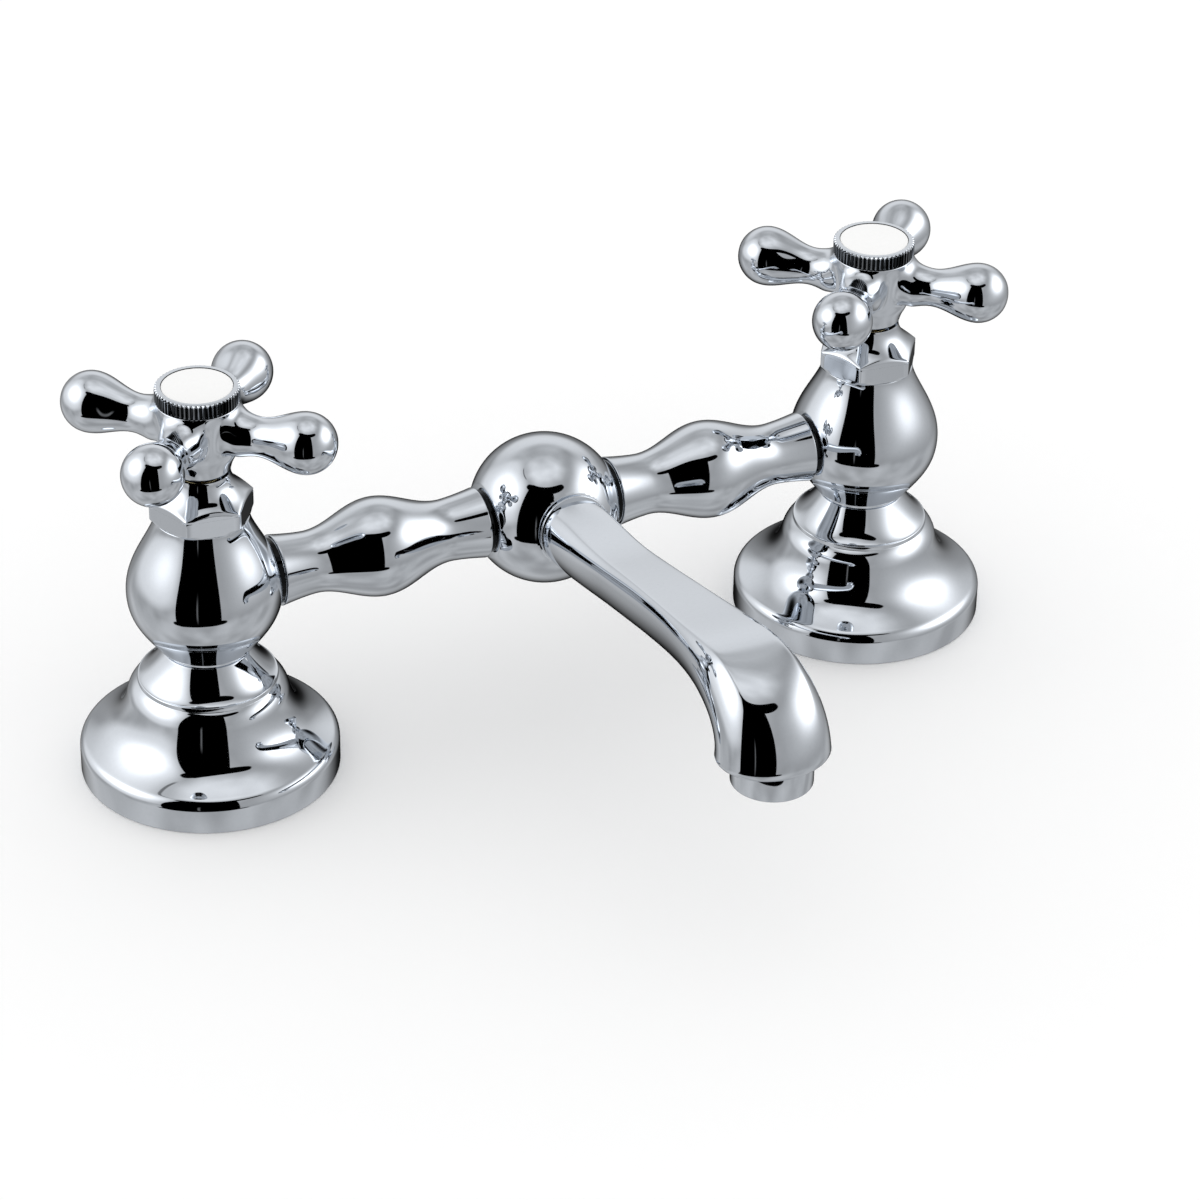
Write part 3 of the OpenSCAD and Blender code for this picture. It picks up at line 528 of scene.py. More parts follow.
@dataclass
class ValveBody(Maker):
    """One bulbous valve body with its neck."""

    neck_r: float = 11.75
    bulb_r: float = 21.3
    edge_drop: float = 17.0
    edge_r: float = 13.5
    undercut_h: float = 0.8
    high: float = 22.9
    top_r: float = 12.9
    draw: float = 1.5
    axis_h: float = 56.5
    inlet_r: float = 9.3
    inlet_depth: float = 14.0
    waterway_r: float = 5.5
    seat_h: float = 44.0
    cavity_r: float = 9.0
    shelf_h: float = 70.0
    socket_r: float = 10.5
    ring_r: float = 10.4
    spigot_r: float = 7.6
    spigot_l: float = 6.8
    seat_room: float = 2.0
    seat_cut: float = 20.0
    steps: int = 40
    foot_across: tuple[float, float, float, float] = (0.0, 0.64, 1.0, 1.0)
    foot_up: tuple[float, float, float, float] = (0.0, 0.4, 0.59, 1.0)

    def outline(self) -> Outline:
        """Draws the outline of the body and its bores.

        Returns:
            The points.
        """
        nut_z = self.axis_h + self.high
        edge_z = self.axis_h - self.edge_drop
        outside = [(self.inlet_r, 0.0), (self.neck_r, 0.0), (self.neck_r, edge_z - self.undercut_h)]
        for i in range(self.steps + 1):
            across, up = curve(*self.foot_across, i / self.steps), curve(*self.foot_up, i / self.steps)
            outside.append((mix(self.edge_r, self.bulb_r, across), mix(edge_z, self.axis_h, up)))
        for i in range(1, self.steps + 1):
            across = max(0.0, math.cos(math.radians(90 * i / self.steps))) ** self.draw
            outside.append((mix(self.top_r, self.bulb_r, across), self.axis_h + self.high * i / self.steps))
        inside = [(self.socket_r, nut_z), (self.socket_r, self.shelf_h), (self.cavity_r, self.shelf_h),
                  (self.cavity_r, self.seat_h), (self.waterway_r, self.seat_h),
                  (self.waterway_r, self.inlet_depth), (self.inlet_r, self.inlet_depth)]
        return soften(outside + inside, 0.3)

    def build(self, side: Side, foot: Vector, inward: Vector) -> None:
        """Makes the body of one side, with its socket towards the bridge.

        Args:
            side: the side.
            foot: the foot of the side's axis.
            inward: the direction of the bridge.
        """
        piece = lathe(f"{side.value}_bulb", self.outline(), foot, start=-inward, steps=144)
        seat = math.sqrt(self.bulb_r**2 - self.ring_r**2)
        level = foot + Z_AXIS * self.axis_h * MM
        socket = level + inward * (seat - self.spigot_l) * MM
        cut(piece, cutter(self.ring_r + self.seat_room, self.seat_cut, level + inward * seat * MM, inward))
        cut(piece, cutter(self.spigot_r, self.spigot_l + self.seat_room, socket, inward))
        self.dress(piece, Slot.CHROME, f"{side.value}_valve_body")


@dataclass
class CoverNut(Maker):
    """One hexagonal cover nut with its trumpet."""

    flats: float = 25.3
    hex_h: float = 5.7
    cone_h: float = 8.4
    chamfer: float = 1.1
    top_r: float = 8.2
    turn: float = 8.0
    foot_h: float = 79.45
    bore_r: float = 4.5
    flare: float = 2.1
    edge: float = 0.8
    corner_at: float = 15.0
    trumpet_steps: int = 48
    rounding: float = 0.3

    def flat_radius(self, angle: float) -> float:
        """Gives the hexagon's radius at an angle from the middle of a flat."""
        return self.flats / 2 / math.cos((angle + math.pi / 6) % (math.pi / 3) - math.pi / 6)

    def build(self, side: Side, foot: Vector, spin: float) -> None:
        """Makes the nut of one side.

        Args:
            side: the side.
            foot: the foot of the side's axis.
            spin: the side's turn about its axis, in degrees.
        """
        corner = self.flats / 2 / math.cos(math.radians(30))
        crown = self.foot_h + self.hex_h
        outline = soften([(self.bore_r, self.foot_h), (corner - self.chamfer, self.foot_h),
                          (corner, self.foot_h + self.chamfer), (corner, crown - 1), (corner, crown - 0.5)],
                         self.rounding)
        for i in range(self.trumpet_steps + 1):
            up = i / self.trumpet_steps
            radius = self.top_r + (corner - self.top_r) * (1 - up) ** self.flare
            outline.append((radius, crown + self.cone_h * up))
        outline += [(self.bore_r, crown + self.cone_h)]
        piece = lathe(f"{side.value}_trumpet_nut", outline, foot, steps=384)
        start = math.radians(self.corner_at + self.turn + spin)
        for vertex in piece.data.vertices:
            out = vertex.co - foot
            round_r, flat_r = out.xy.length / MM, self.flat_radius(math.atan2(out.y, out.x) - start)
            blend = max(0.0, self.edge - abs(round_r - flat_r)) ** 2 / (4 * self.edge)
            ratio = (min(round_r, flat_r) - blend) / round_r
            vertex.co = foot + Vector((out.x * ratio, out.y * ratio, out.z))
        smooth(piece, math.radians(40))
        self.dress(piece, Slot.CHROME, f"{side.value}_cover_nut")


@dataclass
class CrossHandle(Maker):
    """One cross handle: a hub with four teardrop arms, drawn as a cage and subdivided."""

    foot_h: float = 94.5
    hub_h: float = 20.45
    foot_r: float = 8.4
    hub_r: float = 11.3
    bore_r: float = 4.3
    cap_r: float = 8.6
    cap_depth: float = 3.45
    arm_h: float = 108.0
    root_r: float = 6.45
    waist_r: float = 5.2
    waist_at: float = 17.4
    ball_r: float = 8.45
    reach: float = 29.4
    long_reach: float = 31.0
    columns: int = 12
    levels: int = 3
    rise: float = 1.0
    spread: tuple[tuple[float, float, float, float], ...] = (
        (0.14, 9.2, 8.9, 30.0), (0.26, 11.0, 9.6, 30.0), (0.37, 11.3, 9.5, 34.0), (0.66, 11.3, 9.9, 39.5))
    root_at: float = 12.4
    bend_at: float = 14.4
    hub_swell: float = 1 / 0.955
    arm_swell: float = 1 / 0.902
    ball_swell: float = 0.1
    tip_swell: float = 0.3

    def hub_outline(self) -> Outline:
        """Draws the cage's rows.

        Returns:
            The rows, from the bore's foot over the outside to the cap's seat.
        """
        top = self.foot_h + self.hub_h
        swell = self.hub_swell
        foot_r = self.foot_r * swell
        rows = [(self.bore_r, top - self.cap_depth), (self.bore_r, self.foot_h),
                (self.foot_r * 0.8, self.foot_h), (foot_r, self.foot_h), (foot_r, self.foot_h + 0.5)]
        for share, *_ in self.spread[:3]:
            rows.append((mix(self.foot_r, self.hub_r, ease(share)) * swell, mix(self.foot_h, top, share)))
        rows += [(self.hub_r * swell, self.arm_h), (self.hub_r * swell, top - 0.5), (self.hub_r * swell, top),
                 (self.hub_r * swell - 0.7, top), (self.cap_r, top), (self.cap_r, top - self.cap_depth)]
        return rows

    def grow_arm(self, piece: bpy.types.Object, foot: Vector, direction: Vector, reach: float) -> None:
        """Draws one arm out of the hub's side.

        Args:
            piece: the handle.
            foot: the foot of the side's axis.
            direction: the arm's direction, along X or Y.
            reach: how far its ball's centre is from the axis.
        """
        top = self.foot_h + self.hub_h
        low = mix(self.foot_h, top, self.spread[2][0])
        centre = foot / MM

        def on_patch(place: Vector) -> bool:
            """Says whether a face's centre lies where the arm starts."""
            out = place - centre
            beside = abs(out.cross(direction).z) < self.hub_r * 0.6
            return beside and out.dot(direction) > self.hub_r * 0.8 and low < place.z < top - 0.6

        stations = [(self.root_at, self.root_r), (self.bend_at, mix(self.root_r, self.waist_r, 0.55)),
                    (self.waist_at, self.waist_r)]
        for t in (0.2, 0.4, 0.6, 0.8, 1.0):
            grown = mix(self.waist_r, self.ball_r, ease(t))
            stations.append((mix(self.waist_at, reach, t), grown + self.ball_swell * t))
        for a in (18, 36, 54, 70):
            angle = math.radians(a)
            ring = self.ball_r * math.cos(angle) + self.ball_swell
            stations.append((reach + self.ball_r * math.sin(angle), ring))
        tip = reach + self.ball_r
        flat = Vector([0.0 if abs(d) > 0.5 else 1.0 for d in direction])
        last = foot + (direction * self.hub_r + Z_AXIS * self.arm_h) * MM
        radius = 0.0
        pick(piece, on_patch, faces=True)
        for out, wanted in stations:
            drop = self.rise * (1 - ease(min(1.0, (out - stations[0][0]) / (reach - stations[0][0]))))
            hold = foot + (direction * out + Z_AXIS * (self.arm_h - drop)) * MM
            bpy.ops.mesh.extrude_region_move(TRANSFORM_OT_translate={"value": hold - last})
            if radius == 0.0:
                bpy.ops.transform.resize(value=flat, center_override=hold)
                self.round_ring(piece, hold, direction, wanted)
            else:
                ratio = wanted / radius
                bpy.ops.transform.resize(value=(ratio, ratio, ratio), center_override=hold)
            last, radius = hold, wanted
        bpy.ops.object.mode_set(mode="OBJECT")
        for vertex in piece.data.vertices:
            if vertex.select and (vertex.co - hold).length < radius * 0.3 * MM:
                vertex.co = foot + (direction * (tip + self.tip_swell) + Z_AXIS * self.arm_h) * MM
        bpy.ops.object.mode_set(mode="EDIT")

    def spread_hub(self, piece: bpy.types.Object, foot: Vector) -> None:
        """Moves the hub's rows: further out under the arms than between them, where the arms' sides meet.

        Args:
            piece: the handle, a turned cage.
            foot: the foot of the side's axis.
        """
        bpy.ops.object.mode_set(mode="OBJECT")
        for vertex in piece.data.vertices:
            out = (vertex.co - foot) / MM
            if out.xy.length < self.foot_r * 0.9:
                continue
            for share, under_arm, between, side in self.spread:
                if abs(out.z - mix(self.foot_h, self.foot_h + self.hub_h, share)) > 0.15:
                    continue
                angle = math.degrees(math.atan2(out.y, out.x))
                arm = round(angle / 90) * 90
                on_arm = abs(angle - arm) < 5
                turned = math.radians(arm if on_arm else arm + math.copysign(side, angle - arm))
                wanted = (under_arm if on_arm else between) * self.hub_swell
                vertex.co = foot + MM * Vector((wanted * math.cos(turned), wanted * math.sin(turned), out.z))
        bpy.ops.object.mode_set(mode="EDIT")

    def round_ring(self, piece: bpy.types.Object, hold: Vector, direction: Vector, radius: float) -> None:
        """Moves the ring that an arm starts with onto a circle round its axis.

        Args:
            piece: the handle.
            hold: the circle's centre.
            direction: the arm's direction.
            radius: the arm's radius there.
        """
        bpy.ops.object.mode_set(mode="OBJECT")
        for vertex in piece.data.vertices:
            out = vertex.co - hold
            if not vertex.select:
                continue
            if out.length < 2.0 * MM:
                vertex.co = hold
                continue
            across = Z_AXIS.cross(direction)
            turn = round(math.atan2(out.z, out.dot(across)) / (math.pi / 4)) * math.pi / 4
            way = across * math.cos(turn) + Z_AXIS * math.sin(turn)
            vertex.co = hold + way * radius * self.arm_swell * MM
        bpy.ops.object.mode_set(mode="EDIT")

    def build(self, side: Side, foot: Vector) -> None:
        """Makes the handle of one side at its foot."""
        piece = lathe(f"{side.value}_teardrop_cross", self.hub_outline(), foot, steps=self.columns)
        with editing(piece):
            self.spread_hub(piece, foot)
            for along, reach in ((X_AXIS, self.reach), (Vector((0, 1, 0)), self.long_reach)):
                self.grow_arm(piece, foot, along, reach)
                self.grow_arm(piece, foot, -along, reach)
            bpy.ops.mesh.select_all(action="SELECT")
            bpy.ops.mesh.normals_make_consistent(inside=False)
        bare()
        piece.select_set(True)
        bpy.context.view_layer.objects.active = piece
        turn = Matrix.Rotation(math.radians(45), 4, "Z")
        piece.matrix_world = Matrix.Translation(foot) @ turn @ Matrix.Translation(-foot)
        bpy.ops.object.transform_apply(location=True, rotation=True)
        apply_modifier(piece, "SUBSURF", levels=self.levels, render_levels=self.levels)
        smooth(piece, math.radians(50))
        self.dress(piece, Slot.CHROME, f"{side.value}_cross_handle")


@dataclass
class IndexCap(Maker):
    """One milled cap with its white button."""

    cap_r: float = 11.4
    foot_h: float = 115.0
    cap_h: float = 4.15
    rim_h: float = 0.75
    flutes: int = 56
    flute_depth: float = 0.5
    button_r: float = 9.6
    button_t: float = 1.1
    crown: float = 0.35
    spigot_r: float = 8.5
    spigot_l: float = 3.2
    per_flute: int = 6
    flute_shape: tuple[float, ...] = (0.25, 0.85, 1.0, 0.85, 0.25)
    rounding: float = 0.7
    wall: float = 1.8
    lift: float = 0.15
    # Darkness of the painted shade over the lower fluted band, and how far in from the edge it reaches.
    shade: float = 0.8
    button_steps: int = 16

    def cap_outline(self) -> Outline:
        """Draws the outline of the cap.

        Returns:
            The points.
        """
        top = self.foot_h + self.cap_h
        low_rim = top - self.rim_h
        recess = top - self.button_t - 0.2
        bore = self.spigot_r - self.wall
        outside = [(bore, self.foot_h - self.spigot_l), (self.spigot_r, self.foot_h - self.spigot_l),
                   (self.spigot_r, self.foot_h), (self.cap_r - 0.25, self.foot_h),
                   (self.cap_r, self.foot_h + 0.2), (self.cap_r, low_rim)]
        outside += arc((self.cap_r - self.rounding, top - self.rounding), self.rounding, 0, 90, 8)
        inside = [(self.button_r + 0.1, top), (self.button_r + 0.1, recess), (bore, recess)]
        return outside + inside

    def build(self, side: Side, foot: Vector) -> None:
        """Makes the cap and the button of one side."""
        count = self.flutes * self.per_flute
        piece = lathe(f"{side.value}_milled_cap", self.cap_outline(), foot, steps=count)
        centre = foot / MM
        top = self.foot_h + self.cap_h
        with editing(piece):
            for step, depth in enumerate(self.flute_shape, 1):

                def in_flute(place: Vector, wanted: int = step) -> bool:
                    """Says whether a vertex lies in the wanted column of a flute."""
                    out = place - centre
                    column = round(math.atan2(out.y, out.x) / math.tau * count) % self.per_flute
                    return column == wanted and out.xy.length > self.cap_r - 0.5 and place.z < top - 0.05

                pick(piece, in_flute)
                ratio = 1 - self.flute_depth * depth / self.cap_r
                bpy.ops.transform.resize(value=(ratio, ratio, 1), center_override=foot)
        smooth(piece, math.radians(28))
        low_rim = top - self.rim_h

        def flute_painted_shade(place: Vector) -> float:
            """Gives how dark the painted shade of a face is: the whole lower fluted band is darkened, the
            more the deeper a face lies in a flute.
            """
            out = (place - centre).xy.length
            shade = self.shade if place.z < low_rim + 0.1 and out > self.cap_r - self.shade else 0
            return shade + (self.cap_r - 0.12 - out) * (place.z < low_rim + 0.4)

        # Painted shade across the fluted band, deepest in the flutes.
        paint_shade(piece, flute_painted_shade)
        self.dress(piece, Slot.CHROME, f"{side.value}_index_cap")
        seat = top - self.button_t - self.lift
        outline = [(0.0, seat), (self.button_r, seat)]
        for i in range(self.button_steps + 1):
            out = 1 - i / self.button_steps
            outline.append((self.button_r * out, seat + self.button_t + self.crown * (1 - out**2)))
        button = lathe(f"{side.value}_porcelain_button", soften(outline, 0.2), foot)
        self.dress(button, Slot.PORCELAIN, f"{side.value}_index_button")


@dataclass
class Bridge(Maker):
    """The two turned bridge arms and the centre body."""

    axis_h: float = 56.5
    half_span: float = 101.6
    ball_r: float = 21.2
    bulb_r: float = 21.3
    ring_r: float = 10.4
    groove_w: float = 1.7
    groove_r: float = 9.0
    end_r: float = 10.35
    waist_r: float = 8.75
    bulge_r: float = 13.9
    foot_l: float = 12.1
    spigot_r: float = 7.5
    spigot_l: float = 6.4
    tube_r: float = 4.5
    waterway_r: float = 5.5
    spout_spigot_r: float = 8.1
    fit: float = 0.1
    socket_end: float = 0.4
    waterway_at: float = 8.0
    seat_room: float = 2.0
    seat_cut: float = 20.0
    steps: int = 48
    root_tilt: float = 9.0

    def arm_radius(self, at: float, waist: float) -> float:
        """Gives an arm's radius at a distance from its middle."""
        if abs(at) < waist:
            return mix(self.waist_r, self.bulge_r, math.cos(math.pi / 2 * abs(at) / waist) ** 2)
        return mix(self.waist_r, self.end_r, ((abs(at) - waist) / self.foot_l) ** 1.5)

    def build_arm(self, side: Side, outward: Vector) -> None:
        """Makes one arm.

        Args:
            side: the arm's side.
            outward: the direction of that side.
        """
        near = math.sqrt(self.ball_r**2 - self.ring_r**2) + 0.05
        far = self.half_span - math.sqrt(self.bulb_r**2 - self.ring_r**2) - 0.05
        middle, half = (near + far) / 2, (far - near) / 2
        shaft = half - self.groove_w
        end = [(self.tube_r, half + self.spigot_l), (self.spigot_r, half + self.spigot_l),
               (self.spigot_r, half), (self.groove_r, half), (self.groove_r, shaft)]
        places = [shaft * i / self.steps for i in range(self.steps, -self.steps - 1, -1)]
        shape = [(self.arm_radius(at, half - self.foot_l), at) for at in places]
        outline = end + shape + [(radius, -at) for radius, at in reversed(end)]
        foot = outward * middle * MM + Z_AXIS * self.axis_h * MM
        piece = lathe(f"{side.value}_baluster", soften(outline, 0.3), foot, axis=X_AXIS, start=Z_AXIS)
        centre = foot / MM
        # Painted shade: the faces of the grooves and spigots at the arm's ends are darkened.
        paint_shade(piece, lambda place: abs((place - centre).x) > shaft + 0.05)
        self.dress(piece, Slot.CHROME, f"{side.value}_bridge_arm")

    def build_ball(self) -> None:
        """Makes the centre body with its three sockets."""
        seat = math.sqrt(self.ball_r**2 - self.ring_r**2)
        edge = math.degrees(math.acos(seat / self.ball_r))
        angles = [math.radians(mix(edge, 180 - edge, i / 64)) for i in range(65)]
        shell = [(self.ball_r * math.sin(a), self.ball_r * math.cos(a)) for a in angles]
        bore_r = self.spigot_r + self.fit
        bore = [(self.waterway_r, -self.waterway_at), (bore_r, -seat + self.spigot_l + self.socket_end),
                (bore_r, -seat)]
        outline = [(bore_r, seat)] + shell + list(reversed(bore)) + [(r, -h) for r, h in bore[:-1]]
        foot = Z_AXIS * self.axis_h * MM
        piece = lathe("centre_ball", outline, foot, axis=X_AXIS, start=Vector((0, 1, 0)), steps=160)
        tilt = math.radians(self.root_tilt)
        out = Vector((0, -math.cos(tilt), math.sin(tilt)))
        socket = foot + out * (seat - self.spigot_l - self.socket_end) * MM
        cut(piece, cutter(self.ring_r + self.seat_room, self.seat_cut, foot + out * seat * MM, out))
        cut(piece, cutter(self.spout_spigot_r, self.spigot_l + self.seat_room, socket, out))
        self.dress(piece, Slot.CHROME, "centre_body")

    def build(self) -> None:
        """Makes the arms and the centre body."""
        self.build_arm(Side.HOT, -X_AXIS)
        self.build_arm(Side.COLD, X_AXIS)
        self.build_ball()


@dataclass
class Spout(Maker):
    """The cast spout with its flat top, and the aerator under its mouth."""

    axis_h: float = 56.5
    ball_r: float = 21.2
    ring_r: float = 10.4
    groove_w: float = 1.25
    groove_r: float = 9.2
    end_r: float = 10.1
    spigot_r: float = 8.0
    spigot_l: float = 6.4
    reach: float = 138.0
    mouth_rise: float = 2.3
    crest_back: float = 25.4
    crest_rise: float = 18.0
    root_tilt: float = 9.0
    stem_half_w: float = 8.7
    stem_up: float = 4.9
    stem_down: float = 11.8
    stem_flat_w: float = 6.45
    mouth_flat_w: float = 9.3
    edge_blur: float = 0.05
    root_share: float = 0.27
    root_hold: float = 0.47
    crest_hold: float = 0.20
    crest_go: float = 0.45
    mouth_hold: float = 0.8
    seat_gap: float = 0.05
    collar_l: float = 0.9
    end_fit: float = 0.1
    root_flat: float = 0.5
    look: float = 0.01
    root_reach: float = 0.3
    swell_from: float = 0.3
    swell_power: float = 3.5
    flat_from: float = 0.2
    flat_span: float = 0.75
    round_from: float = 0.8
    round_span: float = 0.18
    mouth_half_w: float = 15.6
    mouth_half_t: float = 12.8
    mouth_round: float = 1.6
    aerator_r: float = 10.84
    aerator_h: float = 7.5
    aerator_wall: float = 1.0
    lip_r: float = 7.4
    thread_r: float = 9.4
    thread_l: float = 6.5
    inner_r: float = 8.2
    rows: int = 96
    lips: int = 8
    low_faces: int = 30
    side_angles: tuple[float, ...] = (
        0.0, 6.0, 12.0, 18.0, 24.0, 30.0, 35.0, 39.0, 42.0, 43.4, 44.2, 44.7, 45.0, 45.3, 45.8, 46.6, 48.0,
        51.0, 56.0, 64.0, 74.0, 84.0)

    def __post_init__(self) -> None:
        """Chooses the angles round the section, close at the two long edges, and measures the centre line."""
        step = 180 / self.low_faces
        upper = list(self.side_angles) + [180 - a for a in reversed(self.side_angles)]
        self.angles = upper + [180 + step * i for i in range(1, self.low_faces)]
        ball_face = math.sqrt(self.ball_r**2 - self.ring_r**2)
        tilt = math.radians(self.root_tilt)
        self.root_d = Vector((math.cos(tilt), math.sin(tilt)))
        self.root_p = self.root_d * ball_face
        self.crest_p = Vector((self.reach - self.crest_back, self.crest_rise))
        self.mouth_p = Vector((self.reach, self.mouth_rise))
        self.drop = (self.crest_rise - self.mouth_rise) * self.mouth_hold
        self.ball_face = ball_face
        places = [self.centre(2 * i / self.rows) for i in range(self.rows + 1)]
        self.lengths = [0.0]
        for last, place in zip(places, places[1:]):
            self.lengths.append(self.lengths[-1] + (place - last).length)

    def share(self, t: float) -> float:
        """Gives the share of the centre line's length that lies before a place.

        Args:
            t: the place.

        Returns:
            The share, from 0 to 1.
        """
        row = min(self.rows - 1, int(t * self.rows / 2))
        passed = mix(self.lengths[row], self.lengths[row + 1], t * self.rows / 2 - row)
        return passed / self.lengths[-1]

    def centre(self, t: float) -> Vector:
        """Gives a point of the centre line.

        Args:
            t: place along the line: 0 at the root, 1 at the crest and 2 at the mouth.

        Returns:
            Its distance forward and its rise.
        """
        stem = self.crest_p.x - self.root_p.x
        if t <= 1:
            leave, arrive = self.root_d * stem * self.root_hold, Vector((stem * self.crest_hold, 0))
            return curve(self.root_p, self.root_p + leave, self.crest_p - arrive, self.crest_p, t)
        leave, arrive = Vector((self.crest_back * self.crest_go, 0)), Vector((0, self.drop))
        return curve(self.crest_p, self.crest_p + leave, self.mouth_p + arrive, self.mouth_p, t - 1)

    def section(self, t: float, degrees: float, inset: float) -> Vector:
        """Gives one point of a section.

        Args:
            t: place along the centre line.
            degrees: angle round the section.
            inset: how far the section is drawn in.

        Returns:
            The point, in millimetres.
        """
        p = self.centre(t)
        d = (self.centre(min(2, t + self.look)) - self.centre(max(0, t - self.look))).normalized()
        far = self.share(t)
        swell = ease(max(0.0, far - self.swell_from) / (1 - self.swell_from)) ** self.swell_power
        root = max(0.0, 1 - far / self.root_reach) ** 2
        half_w = self.half_width(far)
        root_r = self.end_r - self.end_fit
        top_r = root_r - self.root_flat
        up = mix(self.stem_up, self.mouth_half_t, swell) + (top_r - self.stem_up) * root - inset
        down = mix(self.stem_down, self.mouth_half_t, swell) + (root_r - self.stem_down) * root**3 - inset
        widened = ease(min(1.0, max(0.0, far - self.flat_from) / self.flat_span))
        edge = math.acos(mix(self.stem_flat_w, self.mouth_flat_w, widened) / half_w)
        u = self.spread(degrees, edge)
        flank = math.sin(u) / math.sin(edge)
        side = up * (flank + 1 - math.hypot(flank - 1, self.edge_blur)) / 2 if flank > 0.5 else up * flank
        fade = max(root**3, ease(min(1.0, max(0.0, far - self.round_from) / self.round_span)))
        h = mix(side, up * math.sin(u), fade) if math.sin(u) > 0 else down * math.sin(u)
        return Vector(((half_w - inset) * math.cos(u), d.y * h - p.x, self.axis_h + p.y + d.x * h))

    def half_width(self, far: float) -> float:
        """Gives half the spout's width.

        Args:
            far: the share of the centre line's length that lies before the place.

        Returns:
            Half the width there.
        """
        if far < self.root_share:
            return mix(self.end_r - self.end_fit, self.stem_half_w, ease(far / self.root_share))
        grown = (far - self.root_share) / (1 - self.root_share)
        return mix(self.stem_half_w, self.mouth_half_w, (grown**2 + ease(grown) ** 2) / 2)

    def spread(self, degrees: float, edge: float) -> float:
        """Moves an angle so that 45 degrees falls on the flat top's edge.

        Args:
            degrees: the angle round the section.
            edge: the angle of the flat top's edge, in radians.

        Returns:
            The moved angle, in radians.
        """
        if degrees >= 180:
            return math.radians(degrees)
        share = min(degrees, 180 - degrees) / 45
        quarter = edge * share if share < 1 else mix(edge, math.pi / 2, share - 1)
        return quarter if degrees < 90 else math.pi - quarter

    def build_skin(self) -> bpy.types.Object:
        """Wraps a grid into the spout's skin.

        Returns:
            The piece.
        """
        lip_t = 2 - self.mouth_round / (3 * self.drop)
        mouth_h = self.axis_h + self.mouth_rise
        around = self.angles + [self.angles[0]]
        rings = [[self.section(lip_t * i / self.rows, a, 0) for a in around] for i in range(self.rows + 1)]
        for i in range(1, self.lips + 1):
            q = math.radians(90 * i / self.lips)
            ring = [self.section(2, a, self.mouth_round * (1 - math.cos(q))) for a in around]
            rings.append([Vector((p.x, p.y, mouth_h + self.mouth_round * (1 - math.sin(q)))) for p in ring])
        bare()
        bpy.ops.mesh.primitive_grid_add(x_subdivisions=len(around) - 1, y_subdivisions=len(rings) - 1, size=1)
        piece = bpy.context.object
        piece.name = piece.data.name = "flat_topped_spout"
        for vertex, place in zip(piece.data.vertices, [p for ring in rings for p in ring]):
            vertex.co = place * MM
        with editing(piece):
            bpy.ops.mesh.select_all(action="SELECT")
            bpy.ops.mesh.remove_doubles(threshold=WELD)
            bpy.ops.mesh.select_non_manifold(extend=False)
            bpy.ops.mesh.fill_holes(sides=0)
        clean(piece)
        return piece

    def build(self) -> None:
        """Makes the spout, its ring and spigot, and the aerator."""
        skin = self.build_skin()
        tilt = math.radians(self.root_tilt)
        out = Vector((0, -math.cos(tilt), math.sin(tilt)))
        foot = Z_AXIS * self.axis_h * MM
        start = self.ball_face + self.seat_gap
        gap = start + self.groove_w
        inner, outer = start - self.spigot_l, gap + self.collar_l
        collar = soften([(0, inner), (self.spigot_r, inner), (self.spigot_r, start), (self.groove_r, start),
                         (self.groove_r, gap), (self.ring_r, gap), (self.ring_r, outer), (0, outer)], 0.3)
        ring = lathe("spout_collar", collar, foot, axis=out)
        bare()
        mouth = Vector((0, -self.reach, self.axis_h + self.mouth_rise)) * MM
        cut(skin, cutter(self.thread_r + 0.14, 8, mouth - Z_AXIS * MM, Z_AXIS))
        smooth(skin, math.radians(40))
        skin.select_set(True)
        ring.select_set(True)
        bpy.context.view_layer.objects.active = skin
        bpy.ops.object.join()
        # Painted shade: the faces of the collar's groove and spigot are darkened.
        paint_shade(skin, lambda place: (place - foot / MM).dot(out) < gap - 0.05)
        self.dress(skin, Slot.CHROME, "spout")
        self.build_aerator(mouth)

    def build_aerator(self, mouth: Vector) -> None:
        """Makes the aerator's collar at the mouth."""
        low, wall = -self.aerator_h, self.aerator_wall
        outline = [(self.lip_r, low), (self.aerator_r, low), (self.aerator_r, -self.seat_gap),
                   (self.thread_r, -self.seat_gap), (self.thread_r, self.thread_l),
                   (self.inner_r, self.thread_l), (self.inner_r, low + wall), (self.lip_r, low + wall)]
        collar = lathe("aerator_collar", soften(outline, 0.35), mouth)
        self.dress(collar, Slot.CHROME, "aerator_housing")


def toward(azimuth: float, elevation: float) -> Vector:
    """Gives a direction: azimuth runs from the front (-Y) towards +X, both in degrees."""
    a, e = math.radians(azimuth), math.radians(elevation)
    return Vector((math.sin(a) * math.cos(e), -math.cos(a) * math.cos(e), math.sin(e)))


